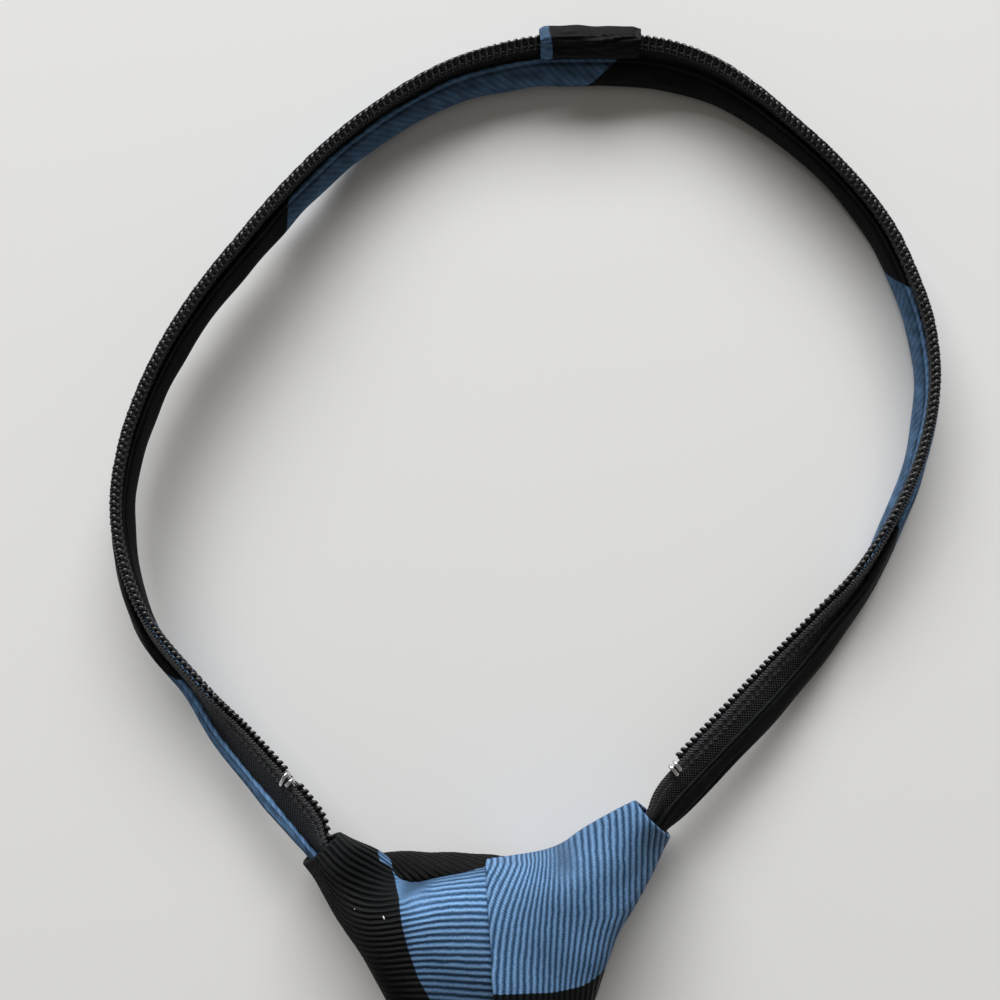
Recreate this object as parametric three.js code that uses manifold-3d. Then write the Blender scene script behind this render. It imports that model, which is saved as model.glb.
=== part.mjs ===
// A pre-tied necktie whose neck band holds a zip, laid flat on its back.
// Millimetres. X runs to the wearer's left as seen from the front, Y from the blade's tip to the
// back of the neck, Z out of the table. The origin is the middle of the knot's back, on the table.
import * as THREE from 'three';
import { mergeVertices } from 'three/addons/utils/BufferGeometryUtils.js';
import Module from 'manifold-3d';

const wasm = await Module();
wasm.setup();

// Neck band
const LOOP_WIDTH = 152; // between the cloth folds of the two straps
const LOOP_LENGTH = 165; // from the knot's middle to the back of the neck
const STRAP_WIDTH = 11; // from the coil's tips to the cloth's fold
const CLOTH_REACH = 5.7; // from the cloth's fold to its sewn edges
const FOLD_THICKNESS = 4.2; // of the folded cloth, where it is fullest
const CLOTH_WALL = 0.8;
const EDGE_ROOM = 0.4; // how much further the front wall of the cloth stands off than the back one

// Zip
const TAPE_THICKNESS = 0.5;
const TAPE_SWELL = 0.04; // how much it stands off on each side where the cloth is sewn to it
const TAPE_HIDDEN = 4; // how far the tape reaches down between the cloth's walls
const TOOTH_REACH = 0.9; // of the coil past the tape's edge
const COIL_WIDTH = 3;
const COIL_THICKNESS = 1.3;
const COIL_PITCH = 1.27;
const COIL_GROOVE = 0.25; // how far the coil dips on each side between two turns
const COIL_STANDOFF = 0.45; // between the tape and the coil sewn on it
const COIL_TO_EAR = 0.3; // between the end of the coil and the mouth of the left ear
const STOP_LENGTH = 2.6; // along the tape
const STOP_WALL = 0.7;
const STOP_REACH = 2.6; // of the stop's legs down the tape
const STOP_NOTCH = 0.35; // depth of the groove between the stop's two bars
const STOP_BARS = [-0.5, -0.12, 0, 0.12, 0.5]; // stations along a stop, the groove at 0
const LEFT_STOP_TO_EAR = 13.8;
const RIGHT_STOP_TO_EAR = 10;
const SLIDER_WIDTH = 13;
const SLIDER_LENGTH = 8.8;
const SLIDER_THICKNESS = 5;
const SLIDER_TAIL = 0.6; // width of the slider's foot, a share of its own width
const SLIDER_HEAD = 0.85; // width of its head
const SLIDER_SHOULDER = 0.35; // height of its sloping shoulders, a share of its length

// Cover over the join at the back of the neck
const COVER_WALL = 0.9;
const COVER_ON_LEFT = 15.4; // length over the left strap
const COVER_ON_RIGHT = 1.8; // length over the right strap
const COVER_ROOM = 0.5; // between the cover and what it is folded over
const COVER_GATHER = 1.4; // how far up from its foot it is gathered against the tape
const COVER_STEPS_LEFT = [1, 0.66, 0.33, 0];
const COVER_STEPS_RIGHT = [0.5, 1];

// Knot
const KNOT_WIDTH = 66.7; // from ear to ear
const KNOT_HEIGHT = 36; // from its top edge to its foot
const KNOT_FOOT = -0.514; // where its foot lies, a share of its height
const KNOT_THICKNESS = 20.6; // from the table to the front
const WING_WALL = 1;
const EAR_ROOM = 0.6; // between the strap and the cloth of the ear around it
const LAP_ROOM = 0.45; // between the two wings, and between them and the band behind
const RING_EXPONENT = 2.8; // exponent of the superellipse a wing's sections follow
const BAND_THICKNESS = 1.5;
const STRAP_TUCK = 6; // how far a strap's cloth runs into its ear
const APPROACH = 7; // straight run of a strap in front of its ear
const HIDDEN_LEAN = 0.45; // how much of its lean a tape keeps halfway to the slider

// Blade
const TIE_LENGTH = 457; // from the knot's top edge to the blade's tip
const BLADE_WIDTH = 83;
const BLADE_THICKNESS = 4;
const BLADE_TUCK = 5.9; // how far the blade runs up into the knot
const TIP_ANGLE = 90;
const TIP_WIDTH = 1.6; // across the rounded point
const TIP_THICKNESS = 0.6; // a share of BLADE_THICKNESS

const CLEARANCE = 0.3; // between pieces that lie on each other
const JOIN_GAP = 0.7; // between the ends of the two straps

// Resolution
const STRAP_STEPS = 41;
const HIDDEN_STEPS = 6; // of a tape inside the knot
const WING_STEPS = 17;
const RING_POINTS = 16;
const ROLL_SIDES = 12;
const BLADE_STEPS = 24;
const ROUTE_SAMPLES = 600; // along a strap's route, for its length

// The left strap, from the join to the ear. across is a share of LOOP_WIDTH, along runs from 0 at
// the ear's mouth to 1 at the back of the neck, lean is the strap's angle from lying flat with its
// coil inwards (90 stands on its fold, more leans outwards), lift is a share of the ear's lift.
const LEFT_ROWS = [
  { across: 0.166, along: 1.0, lean: 130, lift: 0 },
  { across: 0.069, along: 1.0, lean: 128, lift: 0 },
  { across: 0.005, along: 0.991, lean: 121, lift: 0 },
  { across: -0.047, along: 0.975, lean: 115, lift: 0 },
  { across: -0.101, along: 0.943, lean: 110, lift: 0 },
  { across: -0.1548, along: 0.8951, lean: 106, lift: 0.19 },
  { across: -0.2021, along: 0.8325, lean: 104, lift: 0.51 },
  { across: -0.2429, along: 0.7658, lean: 102, lift: 0.72 },
  { across: -0.2845, along: 0.6945, lean: 99, lift: 0.8 },
  { across: -0.3167, along: 0.6149, lean: 96, lift: 0.82 },
  { across: -0.3348, along: 0.5246, lean: 93, lift: 0.78 },
  { across: -0.3332, along: 0.4372, lean: 88, lift: 0.74 },
  { across: -0.3094, along: 0.3554, lean: 81, lift: 0.67 },
  { across: -0.2701, along: 0.2767, lean: 68.6, lift: 0.61 },
  { across: -0.1997, along: 0.2043, lean: 65.7, lift: 0.58 },
  { across: -0.1447, along: 0.137, lean: 45, lift: 0.64 },
];

// The right strap, in the same columns.
const RIGHT_ROWS = [
  { across: 0.166, along: 1.0, lean: 131, lift: 0 },
  { across: 0.217, along: 0.994, lean: 126, lift: 0 },
  { across: 0.265, along: 0.981, lean: 115, lift: 0 },
  { across: 0.307, along: 0.957, lean: 104, lift: 0 },
  { across: 0.3465, along: 0.924, lean: 96, lift: 0 },
  { across: 0.384, along: 0.884, lean: 93, lift: 0 },
  { across: 0.416, along: 0.839, lean: 92, lift: 0 },
  { across: 0.441, along: 0.787, lean: 93, lift: 0 },
  { across: 0.456, along: 0.729, lean: 93, lift: 0 },
  { across: 0.465, along: 0.661, lean: 92, lift: 0 },
  { across: 0.461, along: 0.59, lean: 88.5, lift: 0 },
  { across: 0.443, along: 0.523, lean: 85, lift: 0 },
  { across: 0.415, along: 0.458, lean: 81, lift: 0 },
  { across: 0.376, along: 0.389, lean: 74, lift: 0 },
  { across: 0.3295, along: 0.3165, lean: 61, lift: 0.02 },
  { across: 0.273, along: 0.25, lean: 46, lift: 0.12 },
  { across: 0.213, along: 0.186, lean: 33, lift: 0.35 },
  { across: 0.149, along: 0.127, lean: 30, lift: 0.65 },
];

// Where each strap enters its ear: x and y are shares of KNOT_WIDTH and KNOT_HEIGHT, turn is the
// plan direction of the strap as it goes in, before is its lean just outside, lift is a share of
// KNOT_THICKNESS.
const EARS = {
  left: { x: -0.482, y: 0.514, turn: -46.7, lean: 57, before: 37.5, lift: 0.255 },
  right: { x: 0.4657, y: 0.65, turn: 222.3, lean: 54, before: 33, lift: 0.235 },
};

// Sections through a wing from behind its ear to its end near the middle of the knot. top and low
// are the ends of a section's long axis, x in shares of KNOT_WIDTH, y of KNOT_HEIGHT, and the
// heights and thick in shares of KNOT_THICKNESS.
const LEFT_WING_ROWS = [
  { topX: -0.378, topY: 0.548, topZ: 0.83, lowX: -0.4485, lowY: 0.405, lowZ: 0.17, thick: 0.47 },
  { topX: -0.321, topY: 0.468, topZ: 0.68, lowX: -0.4, lowY: 0.242, lowZ: 0.26, thick: 0.65 },
  { topX: -0.24, topY: 0.381, topZ: 0.53, lowX: -0.336, lowY: 0.019, lowZ: 0.42, thick: 0.84 },
  { topX: -0.14, topY: 0.4125, topZ: 0.47, lowX: -0.269, lowY: -0.249, lowZ: 0.46, thick: 0.9 },
  { topX: -0.067, topY: 0.439, topZ: 0.465, lowX: -0.187, lowY: -0.542, lowZ: 0.465, thick: 0.92 },
  { topX: -0.006, topY: 0.454, topZ: 0.465, lowX: -0.075, lowY: -0.944, lowZ: 0.465, thick: 0.92 },
  { topX: 0.045, topY: 0.45, topZ: 0.465, lowX: 0.055, lowY: -1.11, lowZ: 0.465, thick: 0.92 },
];

const RIGHT_WING_ROWS = [
  { topX: 0.33, topY: 0.681, topZ: 0.71, lowX: 0.443, lowY: 0.489, lowZ: 0.22, thick: 0.52 },
  { topX: 0.244, topY: 0.583, topZ: 0.62, lowX: 0.403, lowY: 0.335, lowZ: 0.36, thick: 0.72 },
  { topX: 0.192, topY: 0.553, topZ: 0.55, lowX: 0.353, lowY: 0.164, lowZ: 0.47, thick: 0.86 },
  { topX: 0.127, topY: 0.517, topZ: 0.52, lowX: 0.317, lowY: -0.017, lowZ: 0.49, thick: 0.96 },
  { topX: 0.055, topY: 0.489, topZ: 0.5, lowX: 0.274, lowY: -0.249, lowZ: 0.5, thick: 1.0 },
  { topX: 0.0, topY: 0.482, topZ: 0.5, lowX: 0.203, lowY: -0.611, lowZ: 0.5, thick: 1.0 },
  { topX: -0.009, topY: 0.481, topZ: 0.5, lowX: 0.06, lowY: -1.056, lowZ: 0.5, thick: 1.0 },
];

// The flat of the band behind the knot, in shares of KNOT_WIDTH and KNOT_HEIGHT.
const BAND_OUTLINE = [
  { x: -0.2, y: -0.486 },
  { x: 0.228, y: -0.486 },
  { x: 0.275, y: -0.236 },
  { x: 0.322, y: 0.0 },
  { x: 0.345, y: 0.222 },
  { x: 0.3, y: 0.39 },
  { x: 0.12, y: 0.43 },
  { x: -0.3, y: 0.43 },
  { x: -0.34, y: 0.33 },
  { x: -0.36, y: 0.167 },
  { x: -0.34, y: -0.028 },
  { x: -0.28, y: -0.264 },
];

// The roll of the band that shows over the left wing's top edge: x and y of its middle, its half
// depth and half height, in shares of KNOT_WIDTH, KNOT_HEIGHT, KNOT_HEIGHT and KNOT_THICKNESS.
const ROLL_ROWS = [
  { x: -0.3, y: 0.415, depth: 0.055, height: 0.2 },
  { x: -0.25, y: 0.413, depth: 0.08, height: 0.26 },
  { x: -0.18, y: 0.415, depth: 0.083, height: 0.28 },
  { x: -0.1, y: 0.42, depth: 0.083, height: 0.28 },
  { x: -0.02, y: 0.42, depth: 0.08, height: 0.27 },
];

// The blade from the knot's foot to its tip: along is a share of its length below the knot, width
// of BLADE_WIDTH, thick of BLADE_THICKNESS, and lift is a share of its lift in the knot's mouth.
const BLADE_ROWS = [
  { along: 0, width: 0.265, thick: 2.8, lift: 1 },
  { along: 0.012, width: 0.29, thick: 2.75, lift: 0.9 },
  { along: 0.04, width: 0.355, thick: 2.4, lift: 0.35 },
  { along: 0.08, width: 0.43, thick: 1.8, lift: 0 },
  { along: 0.15, width: 0.51, thick: 1.25, lift: 0 },
  { along: 0.25, width: 0.59, thick: 1.05, lift: 0 },
  { along: 0.45, width: 0.73, thick: 1, lift: 0 },
  { along: 0.65, width: 0.86, thick: 1, lift: 0 },
  { along: 0.8, width: 0.95, thick: 1, lift: 0 },
];
// Half of the blade's section: side is a share of the half width, up of the thickness.
const BLADE_SECTION = [
  { side: 0, up: 0 },
  { side: 0.62, up: 0 },
  { side: 0.9, up: 0.12 },
  { side: 1, up: 0.42 },
  { side: 0.93, up: 0.74 },
  { side: 0.66, up: 0.95 },
  { side: 0, up: 1 },
];

const LOOKS = {
  blackCloth: { color: 0x15171b, roughness: 0.9, metalness: 0 },
  blueCloth: { color: 0x4f79ab, roughness: 0.88, metalness: 0 },
  tape: { color: 0x0f1012, roughness: 0.95, metalness: 0 },
  coil: { color: 0x0b0b0d, roughness: 0.35, metalness: 0 },
  steel: { color: 0xd6d7da, roughness: 0.25, metalness: 0.9 },
};

const UP = new THREE.Vector3(0, 0, 1);

// Section of a strap: r is measured from the middle of the fold towards the coil, t out of the
// face that lies on top where the strap lies flat.
const foldRadius = FOLD_THICKNESS / 2;
const coilTip = STRAP_WIDTH - foldRadius;
const clothEdge = CLOTH_REACH - foldRadius;
const tapeEdge = coilTip - TOOTH_REACH;
const tapeFoot = clothEdge - TAPE_HIDDEN;
const pocketFloor = tapeFoot - CLEARANCE;
const pocketFront = TAPE_THICKNESS + CLEARANCE;
const frontEdge = pocketFront + CLOTH_WALL;
const backEdge = -CLEARANCE - CLOTH_WALL + EDGE_ROOM / 4;

function clothSection() {
  const diagonal = foldRadius * Math.SQRT1_2;
  return [
    { r: clothEdge, t: frontEdge },
    { r: clothEdge * 0.5, t: (frontEdge + foldRadius) / 2 + EDGE_ROOM / 4 },
    { r: 0, t: foldRadius },
    { r: -diagonal, t: diagonal },
    { r: -foldRadius, t: 0 },
    { r: -diagonal, t: -diagonal },
    { r: 0, t: -foldRadius },
    { r: clothEdge * 0.5, t: (backEdge - foldRadius) / 2 - EDGE_ROOM / 4 },
    { r: clothEdge, t: backEdge },
    { r: clothEdge, t: -CLEARANCE },
    { r: pocketFloor, t: -CLEARANCE },
    { r: pocketFloor, t: pocketFront },
    { r: clothEdge, t: pocketFront },
  ];
}

// Walked the same way as the pocket's walls, so that tape and pocket twist alike.
function tapeSection() {
  return [
    { r: tapeFoot, t: TAPE_THICKNESS },
    { r: clothEdge, t: TAPE_THICKNESS + TAPE_SWELL },
    { r: tapeEdge, t: TAPE_THICKNESS },
    { r: tapeEdge, t: 0 },
    { r: clothEdge, t: -TAPE_SWELL },
    { r: tapeFoot, t: 0 },
  ];
}

// One section of the coil: on the crest of a turn it has its full size, between two it is sunk.
function coilSection(crest) {
  const sunk = crest ? 0 : COIL_GROOVE;
  const near = -COIL_STANDOFF - sunk;
  const far = -COIL_STANDOFF - COIL_THICKNESS + sunk;
  const tip = crest ? coilTip : tapeEdge;
  const foot = coilTip - COIL_WIDTH;
  return [
    { r: foot, t: near },
    { r: foot, t: far },
    { r: tip, t: far },
    { r: tip, t: near },
  ];
}

// A stop is a U that grips the tape's edge.
function stopSection(notch) {
  const front = pocketFront + STOP_WALL - notch;
  const back = -CLEARANCE - STOP_WALL + notch;
  const crown = tapeEdge + CLEARANCE;
  const legs = tapeEdge - STOP_REACH;
  return [
    { r: legs, t: pocketFront },
    { r: crown, t: pocketFront },
    { r: crown, t: -CLEARANCE },
    { r: legs, t: -CLEARANCE },
    { r: legs, t: back },
    { r: crown + STOP_WALL - notch, t: back },
    { r: crown + STOP_WALL - notch, t: front },
    { r: legs, t: front },
  ];
}

// The cover is folded over the coil and the tape, down to the cloth's edges.
function coverSection() {
  const inBack = -COIL_STANDOFF - COIL_THICKNESS - COVER_ROOM;
  const inFront = TAPE_THICKNESS + COVER_ROOM;
  const inTop = coilTip + COVER_ROOM;
  const foot = clothEdge + CLEARANCE;
  const middle = (inBack + inFront) / 2;
  const corner = COVER_WALL * Math.SQRT1_2;
  const tied = -CLEARANCE;
  return [
    { r: foot, t: inFront },
    { r: inTop, t: inFront },
    { r: inTop, t: inBack },
    { r: foot + COVER_GATHER, t: inBack },
    { r: foot, t: tied },
    { r: foot, t: tied - COVER_WALL },
    { r: foot + COVER_GATHER, t: inBack - COVER_WALL },
    { r: inTop, t: inBack - COVER_WALL },
    { r: inTop + corner, t: inBack - corner },
    { r: inTop + COVER_WALL, t: middle },
    { r: inTop + corner, t: inFront + corner },
    { r: inTop, t: inFront + COVER_WALL },
    { r: foot, t: inFront + COVER_WALL },
  ];
}

function geometryOf(points, faces) {
  const positions = new Float32Array(points.flatMap((p) => [p.x, p.y, p.z]));
  const geometry = new THREE.BufferGeometry();
  geometry.setAttribute('position', new THREE.BufferAttribute(positions, 3));
  geometry.setIndex(faces.flat());
  return facedOut(geometry);
}

// Turns a closed geometry's triangles round if they enclose a negative volume.
function facedOut(geometry) {
  const position = geometry.getAttribute('position');
  const index = geometry.getIndex().array;
  const [a, b, c] = [new THREE.Vector3(), new THREE.Vector3(), new THREE.Vector3()];
  let volume = 0;
  for (let i = 0; i < index.length; i += 3) {
    a.fromBufferAttribute(position, index[i]);
    b.fromBufferAttribute(position, index[i + 1]);
    c.fromBufferAttribute(position, index[i + 2]);
    volume += a.dot(b.cross(c));
  }
  if (volume < 0) {
    const turned = [];
    for (let i = 0; i < index.length; i += 3) {
      turned.push(index[i], index[i + 2], index[i + 1]);
    }
    geometry.setIndex(turned);
  }
  return geometry;
}

// Joins rings of equal length with a wall of triangles, from the vertex numbers given.
function wallBetween(rings, faces) {
  for (let i = 0; i < rings.length - 1; i++) {
    const [here, next] = [rings[i], rings[i + 1]];
    for (let j = 0; j < here.length; j++) {
      const k = (j + 1) % here.length;
      faces.push([here[j], here[k], next[k]], [here[j], next[k], next[j]]);
    }
  }
}

// A solid through sections with one outline, closed by flat ends. flat is that outline in 2-D.
function loft(sections, flat) {
  const points = sections.flat();
  const size = flat.length;
  const rings = sections.map((section, i) => section.map((_, j) => i * size + j));
  const faces = [];
  wallBetween(rings, faces);
  const cap = THREE.ShapeUtils.triangulateShape(flat, []);
  const ends = [rings[0], rings.at(-1)];
  const [first, last] = THREE.ShapeUtils.isClockWise(flat) ? ends.reverse() : ends;
  for (const [a, b, c] of cap) {
    faces.push([first[a], first[c], first[b]], [last[a], last[b], last[c]]);
  }
  return geometryOf(points, faces);
}

// A tube through pairs of outer and inner rings, open at both ends.
function sleeve(outer, inner) {
  const size = outer[0].length;
  const count = outer.length;
  const points = [...outer.flat(), ...inner.flat()];
  const ringAt = (start, i) => Array.from({ length: size }, (_, j) => start + i * size + j);
  const outside = outer.map((_, i) => ringAt(0, i));
  const inside = inner.map((_, i) => ringAt(count * size, i));
  const faces = [];
  wallBetween(outside, faces);
  wallBetween([...inside].reverse(), faces);
  wallBetween([inside[0], outside[0]], faces);
  wallBetween([outside.at(-1), inside.at(-1)], faces);
  return geometryOf(points, faces);
}

function toSolid(geometry) {
  const bare = geometry.clone();
  bare.deleteAttribute('normal');
  bare.deleteAttribute('uv');
  const merged = mergeVertices(bare);
  const vertProperties = new Float32Array(merged.getAttribute('position').array);
  const triVerts = new Uint32Array(merged.getIndex().array);
  return new wasm.Manifold(new wasm.Mesh({ numProp: 3, vertProperties, triVerts }));
}

function toGeometry(solid) {
  const mesh = solid.getMesh();
  const geometry = new THREE.BufferGeometry();
  geometry.setAttribute('position', new THREE.BufferAttribute(new Float32Array(mesh.vertProperties), 3));
  geometry.setIndex([...mesh.triVerts]);
  return geometry;
}

// Cutting leaves shavings beside the piece: only the largest part is the piece.
function largest(solid) {
  const parts = solid.decompose();
  return parts.reduce((best, part) => (part.volume() > best.volume() ? part : best));
}

function boxBetween(low, high) {
  const size = high.clone().sub(low);
  const box = new THREE.BoxGeometry(size.x, size.y, size.z);
  box.translate(...low.clone().add(high).multiplyScalar(0.5).toArray());
  return toSolid(box);
}

// A smooth value between the rows of a table: at is a row number, which may lie between two rows.
function between(rows, name, at) {
  const value = (i) => rows[THREE.MathUtils.clamp(i, 0, rows.length - 1)][name];
  const i = Math.min(Math.floor(at), rows.length - 2);
  const f = at - i;
  const [a, b, c, d] = [value(i - 1), value(i), value(i + 1), value(i + 2)];
  const slopeIn = (c - a) / 2;
  const slopeOut = (d - b) / 2;
  const f2 = f * f;
  const f3 = f2 * f;
  return (2 * f3 - 3 * f2 + 1) * b + (f3 - 2 * f2 + f) * slopeIn + (3 * f2 - 2 * f3) * c
    + (f3 - f2) * slopeOut;
}

// How high the fold's middle lies when the fold touches the table, at a lean.
function restHeight(lean) {
  const up = (point) => point.r * Math.sin(lean) + point.t * Math.cos(lean);
  return -Math.min(...clothSection().map(up));
}

function earFrame(ear) {
  const turn = THREE.MathUtils.degToRad(ear.turn);
  return {
    mouth: new THREE.Vector2(ear.x * KNOT_WIDTH, ear.y * KNOT_HEIGHT),
    inward: new THREE.Vector2(Math.cos(turn), Math.sin(turn)),
    lean: ear.lean,
    before: ear.before,
    lift: ear.lift * KNOT_THICKNESS,
  };
}

const knotFoot = KNOT_FOOT * KNOT_HEIGHT;
const sliderFoot = knotFoot + BLADE_TUCK + CLEARANCE;
const sliderTop = sliderFoot + SLIDER_LENGTH;
const sliderBase = BAND_THICKNESS + 2 * CLEARANCE + WING_WALL;
const tapeLevel = sliderBase + SLIDER_THICKNESS / 2;

// Rows of a strap's route in millimetres, down to the end of its tape at the slider.
function strapRoute(rows, ear, side) {
  const frame = earFrame(ear);
  const loop = rows.map((row) => ({
    x: frame.mouth.x * (1 - row.along) + row.across * LOOP_WIDTH,
    y: frame.mouth.y * (1 - row.along) + row.along * LOOP_LENGTH,
    lean: row.lean,
    lift: row.lift * frame.lift,
  }));
  loop[0].x += (side * JOIN_GAP) / 2;
  const onAxis = (distance) => ({
    x: frame.mouth.x + frame.inward.x * distance,
    y: frame.mouth.y + frame.inward.y * distance,
    lean: frame.lean,
    lift: frame.lift,
  });
  const flatLift = tapeLevel - restHeight(0);
  const endX = side * (coilTip + 2 * CLEARANCE);
  const end = { x: endX, y: sliderTop + CLEARANCE, lean: 0, lift: flatLift };
  const deep = onAxis(2 * STRAP_TUCK);
  const halfway = {
    x: (deep.x + end.x) / 2,
    y: (deep.y + end.y) / 2,
    lean: deep.lean * HIDDEN_LEAN,
    lift: (deep.lift + flatLift) / 2,
  };
  const before = { ...onAxis(-APPROACH), lean: frame.before };
  const ears = [before, onAxis(0), onAxis(STRAP_TUCK), deep];
  return { rows: [...loop, ...ears, halfway, end], mouthRow: rows.length + 1, side };
}

// A strap's route measured along its fold. at(s) gives the place and the section's directions
// there: e towards the coil and a out of the front face.
function railAlong(route) {
  const last = route.rows.length - 1;
  const placeAt = (u) => new THREE.Vector2(between(route.rows, 'x', u), between(route.rows, 'y', u));
  const lengths = [0];
  for (let i = 1; i <= ROUTE_SAMPLES; i++) {
    const step = placeAt((i / ROUTE_SAMPLES) * last).distanceTo(placeAt(((i - 1) / ROUTE_SAMPLES) * last));
    lengths.push(lengths[i - 1] + step);
  }
  const rowAt = (s) => {
    let i = 1;
    while (i < ROUTE_SAMPLES && lengths[i] < s) i++;
    const f = (s - lengths[i - 1]) / (lengths[i] - lengths[i - 1]);
    return THREE.MathUtils.clamp(((i - 1 + f) / ROUTE_SAMPLES) * last, 0, last);
  };
  const lengthAt = (row) => lengths[Math.round((row / last) * ROUTE_SAMPLES)];
  const at = (s) => {
    const u = rowAt(s);
    const nudge = 0.02;
    const ahead = placeAt(Math.min(u + nudge, last)).sub(placeAt(Math.max(u - nudge, 0))).normalize();
    const inwards = new THREE.Vector3(ahead.y, -ahead.x, 0).multiplyScalar(route.side);
    const lean = THREE.MathUtils.degToRad(between(route.rows, 'lean', u));
    const place = placeAt(u);
    const height = between(route.rows, 'lift', u) + restHeight(lean);
    return {
      place: new THREE.Vector3(place.x, place.y, height),
      e: inwards.clone().multiplyScalar(Math.cos(lean)).addScaledVector(UP, Math.sin(lean)),
      a: inwards.clone().multiplyScalar(-Math.sin(lean)).addScaledVector(UP, Math.cos(lean)),
    };
  };
  return { at, mouth: lengthAt(route.mouthRow), end: lengths[ROUTE_SAMPLES] };
}

function placed(section, frame) {
  const { place, e, a } = frame;
  return section.map(({ r, t }) => place.clone().addScaledVector(e, r).addScaledVector(a, t));
}

const flatOf = (section) => section.map(({ r, t }) => new THREE.Vector2(r, t));

function evenly(start, end, steps) {
  return Array.from({ length: steps + 1 }, (_, i) => start + ((end - start) * i) / steps);
}

// Carries a section that stays the same along a strap.
function along(rail, section, stations) {
  return loft(stations.map((s) => placed(section, rail.at(s))), flatOf(section));
}

// The tape shares the cloth's stations, so that the two bend alike.
function strapStations(rail) {
  const clothEnd = rail.mouth + STRAP_TUCK;
  const cloth = evenly(0, clothEnd, STRAP_STEPS);
  return { cloth, tape: [...cloth, ...evenly(clothEnd, rail.end, HIDDEN_STEPS).slice(1)] };
}

// The coil's turns: every second section is a crest.
function coilAlong(rail, start, end) {
  const turns = Math.max(1, Math.round((end - start) / COIL_PITCH));
  const stations = Array.from({ length: 2 * turns + 1 }, (_, i) => i);
  const sections = stations.map((i) => {
    const s = start + ((end - start) * i) / (2 * turns);
    return placed(coilSection(i % 2 === 1), rail.at(s));
  });
  return loft(sections, flatOf(coilSection(false)));
}

function stopAt(rail, middle) {
  const sections = STOP_BARS.map((share) => {
    const notch = share === 0 ? STOP_NOTCH : 0;
    return placed(stopSection(notch), rail.at(middle + share * STOP_LENGTH));
  });
  return loft(sections, flatOf(stopSection(0)));
}

// The long axis and the thickness of a wing's section: at is 0 at the ear's mouth and 1 at the
// first row of the wing's table.
function wingAxes(rows, ear, at) {
  const row = Math.max(at - 1, 0);
  const inKnot = {
    top: new THREE.Vector3(
      between(rows, 'topX', row) * KNOT_WIDTH,
      between(rows, 'topY', row) * KNOT_HEIGHT,
      between(rows, 'topZ', row) * KNOT_THICKNESS,
    ),
    low: new THREE.Vector3(
      between(rows, 'lowX', row) * KNOT_WIDTH,
      between(rows, 'lowY', row) * KNOT_HEIGHT,
      between(rows, 'lowZ', row) * KNOT_THICKNESS,
    ),
    thick: between(rows, 'thick', row) * KNOT_THICKNESS,
  };
  if (at >= 1) return inKnot;
  const fit = EAR_ROOM + WING_WALL;
  const { place, e } = ear;
  const mouth = {
    top: place.clone().addScaledVector(e, coilTip + fit),
    low: place.clone().addScaledVector(e, -foldRadius - fit),
    thick: FOLD_THICKNESS + 2 * fit,
  };
  return {
    top: mouth.top.lerp(inKnot.top, at),
    low: mouth.low.lerp(inKnot.low, at),
    thick: THREE.MathUtils.lerp(mouth.thick, inKnot.thick, at),
  };
}

function ringAround({ top, low, thick }, inset, floor) {
  const centre = top.clone().add(low).multiplyScalar(0.5);
  const long = top.clone().sub(low);
  const half = long.length() / 2 - inset;
  const depth = thick / 2 - inset;
  const e = long.normalize();
  const flat = new THREE.Vector3(e.x, e.y, 0).normalize();
  const n = new THREE.Vector3().crossVectors(e, new THREE.Vector3().crossVectors(UP, flat)).normalize();
  if (n.z < 0) n.negate();
  const power = 2 / RING_EXPONENT;
  const bent = (value) => Math.sign(value) * Math.abs(value) ** power;
  return Array.from({ length: RING_POINTS }, (_, i) => {
    const angle = (2 * Math.PI * i) / RING_POINTS;
    const point = centre.clone();
    point.addScaledVector(e, bent(Math.cos(angle)) * half);
    point.addScaledVector(n, bent(Math.sin(angle)) * depth);
    point.z = Math.max(point.z, floor);
    return point;
  });
}

const wingFloor = BAND_THICKNESS + CLEARANCE;

function wingRings(rows, ear, inset, floor) {
  return Array.from({ length: WING_STEPS + 1 }, (_, i) => {
    const at = (rows.length * i) / WING_STEPS;
    return ringAround(wingAxes(rows, ear, at), inset, floor);
  });
}

// Moves the last ring on, away from the one before it.
function pushOut(rings, distance) {
  const [before, last] = rings.slice(-2);
  const ahead = last[0].clone().sub(before[0]).normalize().multiplyScalar(distance);
  for (const point of last) point.add(ahead);
}

// A wing. grow makes its walls thicker on both sides, for cutting room into its neighbour.
function wingShell(rows, ear, grow) {
  const outer = wingRings(rows, ear, -grow, wingFloor - grow);
  const inner = wingRings(rows, ear, WING_WALL + grow, wingFloor + WING_WALL + grow);
  for (const rings of [outer, inner]) pushOut(rings, grow);
  return toSolid(sleeve(outer, inner));
}

// A wing with its hollow filled, and room around it.
function wingHull(rows, ear) {
  const rings = wingRings(rows, ear, -LAP_ROOM, wingFloor - LAP_ROOM);
  const circle = rings[0].map((_, i) => {
    const angle = (2 * Math.PI * i) / RING_POINTS;
    return new THREE.Vector2(Math.cos(angle), Math.sin(angle));
  });
  return toSolid(loft(rings, circle));
}

// Everything past the knot's foot, where its mouth is cut open.
function belowFoot() {
  const low = new THREE.Vector3(-KNOT_WIDTH, knotFoot - 2 * KNOT_HEIGHT, -KNOT_THICKNESS);
  const high = new THREE.Vector3(KNOT_WIDTH, knotFoot, 2 * KNOT_THICKNESS);
  return boxBetween(low, high);
}

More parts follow.
